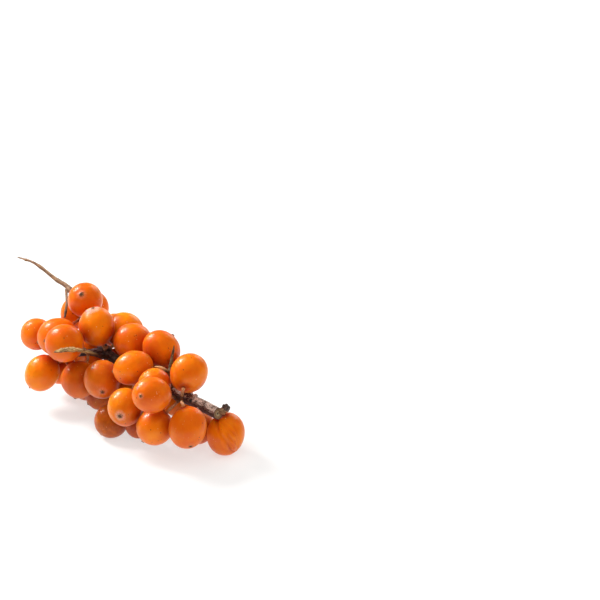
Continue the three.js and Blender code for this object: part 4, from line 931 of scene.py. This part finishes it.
    # painted shade: deep red where another berry almost touches this one
    near = np.full(len(base), 99.0)
    for other, c2, s2, t2, _, _ in BERRIES:
        if other != name and np.linalg.norm(np.array(c2) - centre) < 14.0:
            loc = (base - np.array(c2)) @ euler_matrix(t2)
            k = np.sqrt(((loc / np.array(s2)) ** 2).sum(1))
            g = np.sqrt(((loc / np.array(s2) ** 2) ** 2).sum(1))
            near = np.minimum(near, k * (k - 1) / np.maximum(g, 1e-9))
    near = near + 0.5 * fbm(d * 1.3, 2, seed + 21)
    painted_crowd_shade = PAINTED_CROWD_SHADE.get(name, 0.65) * smoothstep(-near, -3.2, -0.2)
    if name in SCURF:
        r, u, w = front()
        cx, cy, radius = SCURF[name]
        at = cx * r + cy * u + math.sqrt(1 - cx * cx - cy * cy) * w
        off = np.linalg.norm(nrm - at, axis=1) * size.mean()
        scurf = np.exp(-((off / radius) ** 2)) * (1.15 if radius > 1.5 else 0.6)
    verts = base + nrm * h[:, None]
    if name in RESTING:
        verts[:, 2] = np.maximum(verts[:, 2], 0.0)
    verts[:, 2] = np.maximum(verts[:, 2], 0.0)
    n_r = len(th)
    top, bot = n_r * SEG, n_r * SEG + 1
    i, j = np.meshgrid(np.arange(n_r - 1), np.arange(SEG), indexing="ij")
    kx = (j + 1) % SEG
    quads = np.stack([i * SEG + j, (i + 1) * SEG + j, (i + 1) * SEG + kx, i * SEG + kx], -1).reshape(-1, 4)
    faces = [tuple(q) for q in quads.tolist()]
    last = (n_r - 1) * SEG
    for jj in range(SEG):
        kk = (jj + 1) % SEG
        faces.append((top, jj, kk))
        faces.append((bot, last + kk, last + jj))
    mats = [0] * len(faces)
    # skin coordinates: round the axis (two numbers) and along it
    lon = np.stack([d @ e1, d @ e2, d @ axis], 1)
    flat = np.linalg.norm(lon[:, :2], axis=1, keepdims=True)
    skin = np.concatenate([lon[:, :2] / np.maximum(flat, 0.08), lon[:, 2:3] * 4.2 + index * 5.0], 1)
    # dry calyx: a few shrunken lobes round a short broken style
    parts_v, parts_f, n = [verts], list(faces), len(verts)
    rng = np.random.default_rng(seed)
    t_out = tip / np.linalg.norm(tip)
    nrm_tip = nrm[-2]
    a1 = np.cross(nrm_tip, [0.3, 0.5, 0.8])
    a1 /= np.linalg.norm(a1)
    a2 = np.cross(nrm_tip, a1)
    top_at = pole + nrm_tip * (h[-2] - 0.05)
    lobes = []
    count = 4 + index % 3
    for q in range(count):
        ang = 2 * math.pi * (q + rng.uniform(-0.25, 0.25)) / count
        o = math.cos(ang) * a1 + math.sin(ang) * a2
        r0, r1 = rng.uniform(0.10, 0.16) * wide, rng.uniform(0.30, 0.46) * wide
        up = rng.uniform(0.07, 0.15) * wide
        lobes.append(([top_at + o * r0, top_at + o * (r0 + r1) / 2 + nrm_tip * (up + 0.06), top_at + o * r1 + nrm_tip * up * 0.8], rng.uniform(0.075, 0.11) * wide, (1.25, 0.6)))
    lobes.append(([top_at, top_at + nrm_tip * 0.16, top_at + nrm_tip * 0.28 + a1 * rng.uniform(-0.08, 0.08)], 0.07, (1, 1)))
    for pts, rr, sq in lobes:
        rod = Rod(pts, lambda t, s, rr=rr: rr * (0.7 + 0.5 * math.sin(math.pi * min(1, t * 0.9 + 0.1))) * (1 - 0.45 * t), 8, 0.07, sq, start=tuple(nrm_tip))
        rod.verts = rod.verts + rod.normals * (0.02 * noise(rod.verts * 6, seed + 9))[:, None]
        parts_v.append(rod.verts)
        parts_f += [tuple(i + n for i in f) for f in rod.faces]
        mats += [1] * len(rod.faces)
        n += len(rod.verts)
    allv = np.vstack(parts_v)
    if name in RESTING:
        allv[:, 2] = np.maximum(allv[:, 2], 0.0)
    extra = len(allv) - len(verts)
    tone = (noise(np.array([[index * 1.7, 4.2, 0.3]]), 71)[0]) * 0.22
    attrs = {
        "tipd": np.r_[tipd, np.zeros(extra)],
        "stalkd": np.r_[stalkd, np.full(extra, 9.0)],
        "tone": np.full(len(allv), tone),
        "brown_and_painted_shade": np.r_[brown_and_painted_shade, np.full(extra, BROWN_AND_PAINTED_SHADE.get(name, 0.0))],
        "pale": np.full(len(allv), TIP_PALE.get(name, 0.25)),
        "painted_crowd_shade": np.r_[painted_crowd_shade, np.zeros(extra)],
        "painted_crease_shade": np.r_[painted_crease_shade, np.zeros(extra)],
        "scurf": np.r_[scurf, np.zeros(extra)],
        "halo": np.full(len(allv), HALO.get(name, 1.0)),
        "skin": np.vstack([skin, np.zeros((extra, 3))]),
    }
    slot = next(s["material_slot"] for s in frame["record"]["subparts"] if s["node"] == name)
    make_piece(name + "_fruit", allv, parts_f, [SKINS[slot], CALYX], attrs, mats, name)


for i, row in enumerate(BERRIES):
    berry_piece(i, row)

# -------------------------------------------------------------------- wood


def bark_relief(bark, seed, ridge, lump):
    """How far bark stands out: long ridges, cross cracks and soft lumps."""
    b = np.asarray(bark)
    q = np.stack([b[:, 0] * 0.45, b[:, 1] * 2.2, b[:, 2] * 2.2], 1)
    long_ridges = 1 - 2 * np.abs(fbm(q, 3, seed))
    lumps = fbm(b * 0.9, 2, seed + 3)
    cracks = np.abs(fbm(np.stack([b[:, 0] * 1.6, b[:, 1] * 1.2, b[:, 2] * 1.2], 1), 2, seed + 8))
    return ridge * (long_ridges - 0.6) + lump * lumps - ridge * 0.8 * np.exp(-((cracks / 0.05) ** 2))


def stem_radius():
    base = radius_of(MAIN_STEM)

    def r(t, s):
        x = base(t)
        for place, extra in STEM_JOINTS:
            x += extra * math.exp(-(((t - place) / 0.012) ** 2))
        return x
    return r


def stem_piece():
    rod = Rod(xyz(MAIN_STEM), stem_radius(), 72, 0.16, start_round=0.0, end_round=1.2)
    r = np.linalg.norm(rod.bark[:, 1:], axis=1)
    relief = bark_relief(rod.bark, 11, 0.055, 0.05) * np.clip(r / 1.1, 0.25, 1.0)
    rod.verts = rod.verts + rod.normals * relief[:, None] * (r > 0.02)[:, None]
    verts, faces = rod.verts, rod.faces
    seg = rod.seg
    # cut face on the slant: bark rim, cambium step, wood with saw marks and a sunken pith
    pts, ts, arc = line(xyz(MAIN_STEM), 0.16)
    tang, u, v = frames_along(pts)
    out = np.array(CUT_FACING) / np.linalg.norm(CUT_FACING)
    centre = np.stack([np.interp(rod.arc, arc, pts[:, k]) for k in range(3)], 1)
    lean = -((verts - centre) @ out) / (tang[0] @ out)
    fade = np.clip(1 - rod.arc / 2.6, 0, 1)
    verts = verts + tang[0] * (lean * fade * (rod.arc < 2.6))[:, None]
    rim = verts[:seg].copy()
    mid = pts[0]
    centre_index = rod.rings * seg
    faces = [f for f in faces if centre_index not in f]
    ring_ids = [list(range(seg))]
    extra, face_val, bark_extra = [], [], []
    n = len(verts)
    for frac, push in ((0.97, 0.05), (0.90, 0.09), (0.84, 0.05), (0.80, 0.02), (0.66, 0.035), (0.5, 0.02), (0.36, 0.03), (0.30, 0.01), (0.26, -0.10), (0.15, -0.16)):
        ring = mid + (rim - mid) * frac
        rel = (ring - mid)
        marks = 0.02 * np.sin(rel @ (u[0] * 0.9 + v[0] * 0.45) * 14.0) + 0.02 * fbm(ring * 3.0, 2, 5)
        ring = ring + out * (push + marks * (frac < 0.82))[:, None]
        extra.append(ring)
        face_val.append(np.full(seg, frac))
        bark_extra.append(rod.bark[:seg] * [1, frac, frac])
        ring_ids.append(list(range(n, n + seg)))
        n += seg
    extra.append((mid + out * -0.17)[None])
    face_val.append(np.zeros(1))
    bark_extra.append(np.zeros((1, 3)))
    for a, b in zip(ring_ids[:-1], ring_ids[1:]):
        for j in range(seg):
            k = (j + 1) % seg
            faces.append((a[k], a[j], b[j], b[k]))
    for j in range(seg):
        k = (j + 1) % seg
        faces.append((ring_ids[-1][k], ring_ids[-1][j], n))
    n += 1
    # the old centre vertex of the cap is left out below
    allv = np.vstack([verts] + extra)
    face_attr = np.r_[np.full(len(verts), 1.4), np.concatenate(face_val)]
    face_attr[:seg] = 1.0
    bark = np.vstack([rod.bark] + bark_extra)
    wear = np.zeros(len(allv))
    # growths on the stem
    grow = [
        ([p[:3] for p in SIDE_STUB], [p[3] for p in SIDE_STUB], 0.8),
        ([[31.29, 4.18, 11.02], [31.36, 4.38, 11.20], [31.41, 4.55, 11.38], [31.38, 4.69, 11.63], [31.29, 4.76, 11.87]], [0.84, 0.95, 1.00, 0.87, 0.48], 0.8),
        ([[24.45, 0.75, 12.10], [24.49, 0.91, 12.35], [24.66, 1.30, 12.88], [24.76, 1.58, 13.13]], [0.95, 0.80, 0.60, 0.38], 0.5),
        ([[23.95, 0.48, 11.72], [24.40, 0.12, 11.98], [24.73, -0.15, 12.18], [24.97, -0.35, 12.33]], [0.98, 0.92, 0.86, 0.66], 0.3),
        ([[-27.10, 2.77, 23.60], [-27.20, 2.79, 23.75], [-27.44, 2.83, 24.02], [-27.70, 2.85, 24.27]], [0.48, 0.43, 0.34, 0.13], 0.8),
        ([[-37.25, 0.80, 26.60], [-37.32, 0.77, 26.56], [-37.48, 0.67, 26.42], [-37.69, 0.57, 26.29]], [0.38, 0.37, 0.28, 0.12], 0.8),
        ([[-36.1, 1.0, 26.42], [-36.2, 0.97, 26.60], [-36.32, 0.92, 26.76]], [0.26, 0.21, 0.11], 0.8),
        ([[28.3, 1.05, 11.2], [28.25, 0.75, 11.75], [28.2, 0.65, 12.1]], [0.62, 0.50, 0.30], 0.4),
        ([[26.9, 0.2, 10.9], [26.85, -0.05, 10.8], [26.8, -0.28, 10.75]], [0.55, 0.42, 0.2], 0.4),
        ([[31.09, 4.37, 11.63], [30.95, 4.34, 11.82], [30.84, 4.31, 11.98]], [0.52, 0.40, 0.24], 0.7),
    ]
    parts_v, parts_f = [allv], faces
    total = len(allv)
    barks, wears, facev, stubs = [bark], [wear], [face_attr], [np.zeros(len(allv))]
    for gi, (pts_g, radii, cap) in enumerate(grow):
        x = np.linspace(0, 1, len(radii))
        g = Rod(pts_g, lambda t, s, x=x, radii=radii: float(np.interp(t, x, radii)), 28, 0.07, end_round=cap)
        amp = 0.05 * min(1.0, max(radii) / 0.8)
        if gi == 1:      # bud: overlapping scales
            sc = np.sin(g.arc * 13.0 + 2.2 * np.sin(g.ang * 2))
            g.verts = g.verts + g.normals * (0.05 * sc + 0.03 * fbm(g.verts * 2.2, 2, 3))[:, None]
        else:
            g.verts = g.verts + g.normals * (bark_relief(g.bark, 40 + gi, amp, amp))[:, None]
        gface = np.full(len(g.verts), 1.4)
        parts_v.append(g.verts)
        parts_f += [tuple(i + total for i in f) for f in g.faces]
        total += len(g.verts)
        barks.append(g.bark + [gi * 7.0 + 90, 0, 0])
        wears.append(np.full(len(g.verts), 1.0 if gi in (1, len(grow) - 1) else 0.0))
        stubs.append(np.full(len(g.verts), 1.0 if gi == 0 else 0.0))
        if gi == 2 + 1:  # ring knot: a raised rim round a darker, sunken middle
            end = np.linalg.norm(g.verts - np.array([25.10, -0.44, 12.43]), axis=1)
            stubs[-1] = -1.0 * smoothstep(-end, -0.62, -0.30)
        facev.append(gface)
    verts = np.vstack(parts_v)
    # drop the unused vertex of the plain cap
    used = np.zeros(len(verts), bool)
    for f in parts_f:
        for i in f:
            used[i] = True
    new = np.cumsum(used) - 1
    parts_f = [tuple(int(new[i]) for i in f) for f in parts_f]
    verts = verts[used]
    attrs = {"bark": np.vstack(barks)[used], "wear": np.concatenate(wears)[used], "face": np.concatenate(facev)[used]}
    # young wood from the place where the twig thins
    place = np.clip((24.0 - verts[:, 0]) / 60.0, 0, 1)
    attrs["young"] = smoothstep(-verts[:, 0], 15.0, 24.0)
    attrs["stub"] = np.concatenate(stubs)[used]
    # painted shade: bark is painted near black inside the crowd of berries, where they shade it
    attrs["deep"] = 0.85 * smoothstep(-verts[:, 0], -20.0, -15.0) * smoothstep(verts[:, 0], -19.0, -12.0)
    make_piece("main_stem_wood", verts, parts_f, [STEM_BARK], attrs, None, "main_stem")


def stem_material():
    """Old dark bark that passes into tan young bark along the thin twig."""
    m = Tree("bark_stem")
    mm = m.mm()
    bark = m.attr("bark", "Vector")
    young = m.attr("young")
    ridge = m.noise(m.stretch(bark, (0.45, 2.6, 2.6)), 1.0, 4.0, 0.6, 0.3)
    grain = m.noise(m.stretch(bark, (1.5, 9.0, 9.0)), 1.0, 3.0, 0.6)
    patch = m.noise(mm, 0.55, 3.0, 0.6)
    old = m.mix(m.ramp(ridge, 0.38, 0.60), rgb(24, 10, 8), rgb(86, 44, 34))
    old = m.mix(m.ramp(grain, 0.50, 0.70, 0.0, 0.6), old, rgb(132, 94, 82))
    # pale speckled upper side: partly bloom, partly painted highlight where the light falls
    up = m.ramp(m.upward(), 0.15, 0.75)
    dust = m.noise(m.stretch(bark, (4.2, 8.5, 8.5)), 1.0, 3.0, 0.7)
    bloom_and_highlight = m.math("MULTIPLY", m.ramp(m.math("ADD", m.math("MULTIPLY", patch, 0.45), m.math("MULTIPLY", dust, 0.75)), 0.56, 0.66), up)
    old = m.mix(m.math("MULTIPLY", bloom_and_highlight, 0.95), old, rgb(246, 216, 198))
    # painted shade: the underside is painted a dark maroon
    low = m.ramp(m.upward(), -0.75, 0.1, 0.7, 0.0)
    old = m.mix(m.math("MULTIPLY", low, m.ramp(patch, 0.35, 0.6)), old, rgb(96, 36, 20))
    new = m.mix(m.ramp(ridge, 0.36, 0.62), rgb(96, 60, 36), rgb(158, 114, 74))
    new = m.mix(m.ramp(grain, 0.5, 0.76, 0.0, 0.6), new, rgb(196, 154, 108))
    new = m.mix(m.math("MULTIPLY", bloom_and_highlight, 0.35), new, rgb(186, 160, 130))
    col = m.mix(young, old, new)
    d, c = m.spots(m.stretch(bark, (1.1, 2.3, 2.3)), 1.0)
    pore = m.ramp(d, 0.13, 0.22, 1.0, 0.0)
    col = m.mix(m.math("MULTIPLY", pore, 0.5), col, rgb(168, 136, 112))
    crack = m.ramp(m.noise(m.stretch(bark, (0.8, 5.0, 5.0)), 1.0, 3.0, 0.7, 0.6), 0.30, 0.40, 1.0, 0.0)
    col = m.mix(m.math("MULTIPLY", crack, 0.7), col, rgb(28, 16, 12))
    # painted shade inside the crowd of berries
    col = m.mix(m.attr("deep"), col, rgb(16, 8, 6))
    # the tan side stub, and the dark middle of the ring knot
    stub = m.attr("stub")
    tan = m.mix(m.ramp(grain, 0.4, 0.66), rgb(104, 74, 46), rgb(182, 142, 96))
    col = m.mix(m.math("MULTIPLY", stub, 0.85, clamp=True), col, tan)
    col = m.mix(m.math("MULTIPLY", stub, -1.0, clamp=True), col, rgb(22, 14, 10))
    # the dark bud
    col = m.mix(m.attr("wear"), col, m.mix(m.ramp(grain, 0.4, 0.66), rgb(34, 22, 19), rgb(118, 92, 80)))
    # the cut
    face = m.attr("face")
    on = m.ramp(face, 0.93, 1.0, 1.0, 0.0)
    rings = m.math("SINE", m.math("MULTIPLY", m.math("ADD", face, m.math("MULTIPLY", patch, 0.12)), 34.0))
    ray = m.noise(mm, 3.0, 3.0)
    wood = m.mix(m.ramp(rings, -1.0, 1.0, 0.0, 0.6), rgb(150, 114, 74), rgb(116, 86, 56))
    wood = m.mix(m.ramp(ray, 0.4, 0.7, 0.0, 0.6), wood, rgb(84, 58, 38))
    wood = m.mix(m.ramp(face, 0.30, 0.50, 1.0, 0.0), wood, rgb(176, 154, 118))
    wood = m.mix(m.ramp(face, 0.12, 0.28, 1.0, 0.0), wood, rgb(74, 56, 36))
    wood = m.mix(m.ramp(face, 0.78, 0.95, 0.0, 1.0), wood, rgb(86, 56, 40))
    col = m.mix(on, col, wood)
    r = m.math("ADD", 0.42, m.math("MULTIPLY", ridge, 0.28), clamp=True)
    h = m.math("ADD", m.math("MULTIPLY", ridge, 0.8), m.math("MULTIPLY", grain, 0.35))
    h = m.math("SUBTRACT", h, m.math("MULTIPLY", crack, 0.5))
    h = m.math("ADD", h, m.math("MULTIPLY", pore, 0.2))
    m.set(Base_Color=col, Roughness=r, Normal=m.bump(h, 0.00009, 0.9))
    m.set(Specular_IOR_Level=0.45)
    return m.m


STEM_BARK = stem_material()
stem_piece()


def shoot_piece(name, shoots, node, material, seg, step, ridge, lump, squash=(1, 1), wear=None, voxel=None, knots=()):
    """Side shoots as one skin: each is (points, cap)."""
    parts, lines = [], []
    for points, cap in shoots:
        rf = radius_of(points)

        def rad(t, s, rf=rf):
            return rf(t) + sum(e * math.exp(-(((t - p) / w) ** 2)) for p, e, w in knots)
        rod = Rod(xyz(points), rad, seg, step, squash, start_round=0.3, end_round=cap)
        parts.append(rod)
        lines.append(xyz(points))
    if voxel:
        verts, faces, nrm = fused([(p.verts, p.faces) for p in parts], voxel)
        bark, frac, which, dist = nearest_line(verts, lines)
    else:
        rod = parts[0]
        verts, faces, nrm, bark, frac = rod.verts, rod.faces, rod.normals, rod.bark, rod.place
        which = np.zeros(len(verts), int)
    seed = sum(map(ord, name)) % 1000
    r = np.linalg.norm(bark[:, 1:], axis=1)
    verts = verts + nrm * (bark_relief(bark, seed, ridge, lump) * np.clip(r / 0.5, 0.15, 1))[:, None]
    w = wear(frac, which, verts) if wear else np.zeros(len(verts))
    attrs = {"bark": bark, "wear": w, "face": np.full(len(verts), 1.4)}
    return make_piece(name, verts, faces, [material], attrs, None, node)


shoot_piece("left_thorn_wood", [(LEFT_THORN, 0.9)], "left_thorn", PALE_BARK, 56, 0.08, 0.17, 0.13,
            squash=(0.86, 1.12), wear=lambda f, w, v: np.maximum(smoothstep(-f, -0.50, -0.22), 0.75 * smoothstep(f, 0.84, 0.97)), knots=[(0.33, 0.10, 0.02), (0.62, 0.08, 0.02), (0.8, 0.06, 0.02)])
shoot_piece("right_thorn_wood", [(RIGHT_THORN, 1.2), (RIGHT_TWIGLET, 0.9)], "right_thorn", OLIVE_BARK, 28, 0.1, 0.07, 0.05,
            voxel=0.07, wear=lambda f, w, v: np.where(w == 1, smoothstep(f, 0.1, 0.5), 0.0), knots=[(0.5, 0.05, 0.03)])
shoot_piece("fork_twig_wood", [(FORK_TWIG, 1.0)], "fork_twig", YOUNG_BARK, 36, 0.08, 0.03, 0.03,
            wear=lambda f, w, v: smoothstep(f, 0.6, 0.8), knots=[(0.45, 0.07, 0.03), (0.72, 0.05, 0.03)])


def stalk_rods(points, foot=0.55, mid=0.33, top=0.42, deeper=0.35):
    pts = [np.array(p) for p in points]
    start = pts[0] - (pts[1] - pts[0]) / np.linalg.norm(pts[1] - pts[0]) * deeper
    pts = [start] + pts
    full, ts, arc = line(pts, 0.1)
    total = arc[-1]

    def rad(t, s):
        a = s / total
        r = mid + (foot - mid) * math.exp(-((s / 0.55) ** 2)) * 1.0
        r += (top - mid) * math.exp(-(((total - s) / 0.38) ** 2))
        r += 0.03 * math.sin(s * 5.1 + points[0][0]) * (0 < a < 1)
        return r
    return Rod(pts, rad, 14, 0.1, start_round=0.3, end_round=0.25)


def stalks_piece(name, stalks, cushions, node, material, wood=None):
    rods, lines = [], []
    for _, pts in stalks:
        rods.append(stalk_rods(pts))
        lines.append(pts)
    for pts in cushions:
        rods.append(Rod(pts, lambda t, s: 0.55, 14, 0.12, start_round=0.8, end_round=0.8))
    base = None
    if wood is not None:
        rf = radius_of(wood)
        rods.append(Rod(xyz(wood), lambda t, s: rf(t), 28, 0.12, start_round=0.3, end_round=0.8))
    verts, faces, nrm = fused([(r.verts, r.faces) for r in rods], 0.085)
    bark, frac, which, dist = nearest_line(verts, lines)
    if wood is not None:
        bark2, frac2, which2, dist2 = nearest_line(verts, [xyz(wood)])
        near = dist2 < np.interp(frac2, np.linspace(0, 1, len(wood)), [p[3] for p in wood]) + 0.12
        bark = np.where(near[:, None], bark2 + [50.0, 0, 0], bark)
        frac = np.where(near, 0.0, frac)
    seed = sum(map(ord, name)) % 1000
    verts = verts + nrm * (bark_relief(bark, seed, 0.025, 0.02))[:, None]
    attrs = {"bark": bark, "wear": frac, "face": np.full(len(verts), 1.4)}
    if wood is None:
        return make_piece(name, verts, faces, [material], attrs, None, node)
    used = np.zeros(len(faces), int)
    for i, f in enumerate(faces):
        used[i] = 0 if frac[f[0]] < 0.12 else 1
    attrs["wear"] = frac
    return make_piece(name, verts, faces, [OLD_BARK, STALK_SHADED], {**attrs, "young": np.zeros(len(verts))}, used, node)


for name, stalks, cushions in STALKS:
    # stalks deep in the crowd get the painted-shade copy
    shaded_stalks = any(berry == "berry_37" for berry, _ in stalks)
    stalks_piece(name + "_skin", stalks, cushions, name, STALK_SHADED if shaded_stalks else STALK)
stalks_piece("left_spur_wood", SPUR_STALKS, [], "left_spur", OLD_BARK, wood=LEFT_SPUR)

# ------------------------------------------------------------------- stage


def floor_material():
    m = Tree("paper_floor")
    c = m.mm()
    n = m.noise(c, 0.05, 3.0, 0.6)
    col = m.mix(n, (0.41, 0.41, 0.41), (0.44, 0.44, 0.44))
    m.set(Base_Color=col, Roughness=0.9, Specular_IOR_Level=0.1, Emission_Color=(1.0, 0.99, 0.98, 1.0), Emission_Strength=0.60)
    return m.m


bpy.ops.mesh.primitive_plane_add(size=8.0, location=(0, 0, -0.00001))
floor = bpy.context.object
floor.name = "floor"
floor.data.materials.append(floor_material())

world = bpy.data.worlds.new("studio")
scene.world = world
world.use_nodes = True
bg = world.node_tree.nodes["Background"]
bg.inputs[0].default_value = (1.0, 1.0, 1.0, 1.0)
bg.inputs[1].default_value = 0.10


def soft_light(name, right, up, back, distance, size, watts, colour=(1, 1, 1), spread=180, shine=True):
    """A square soft light, placed by its direction as the camera sees it."""
    d = CAM_RIGHT * right + CAM_UP * up + CAM_BACK * back
    d /= np.linalg.norm(d)
    lamp = bpy.data.lights.new(name, "AREA")
    lamp.shape = "RECTANGLE"
    lamp.size, lamp.size_y = size
    lamp.energy = watts
    lamp.color = colour
    lamp.spread = math.radians(spread)
    ob = bpy.data.objects.new(name, lamp)
    scene.collection.objects.link(ob)
    ob.visible_glossy = shine
    at = Vector((0, 0, 0.012)) + Vector(d) * distance
    ob.location = at
    ob.rotation_mode = "QUATERNION"
    ob.rotation_quaternion = (at - Vector((0, 0, 0.012))).to_track_quat("Z", "Y")
    return ob


soft_light("key", -0.61, 0.78, -0.12, 0.60, (0.20, 0.20), 4.9, (1.0, 0.99, 0.97))
soft_light("window", 0.46, 0.68, -0.56, 0.70, (0.30, 0.34), 1.1, (0.98, 0.99, 1.0))
soft_light("right", 0.80, 0.42, 0.42, 0.90, (1.0, 0.8), 2.0, (1.0, 0.99, 0.97), shine=False)
soft_light("front", -0.12, 0.66, 0.74, 1.00, (1.5, 1.3), 7.6, (1.0, 0.99, 0.97), shine=False)

cam = bpy.data.cameras.new("camera")
cam.sensor_width = 36.0
cam.lens = 154.8
cam.clip_start, cam.clip_end = 0.05, 20.0
camera = bpy.data.objects.new("camera", cam)
scene.collection.objects.link(camera)
m = Matrix.Identity(4)
for k in range(3):
    m[k][0], m[k][1], m[k][2] = CAM_RIGHT[k], CAM_UP[k], CAM_BACK[k]
loc = put_in_frame(CAM_AT)
m[0][3], m[1][3], m[2][3] = loc
camera.matrix_world = m
scene.camera = camera

scene.view_settings.view_transform = "Standard"
scene.view_settings.look = "None"
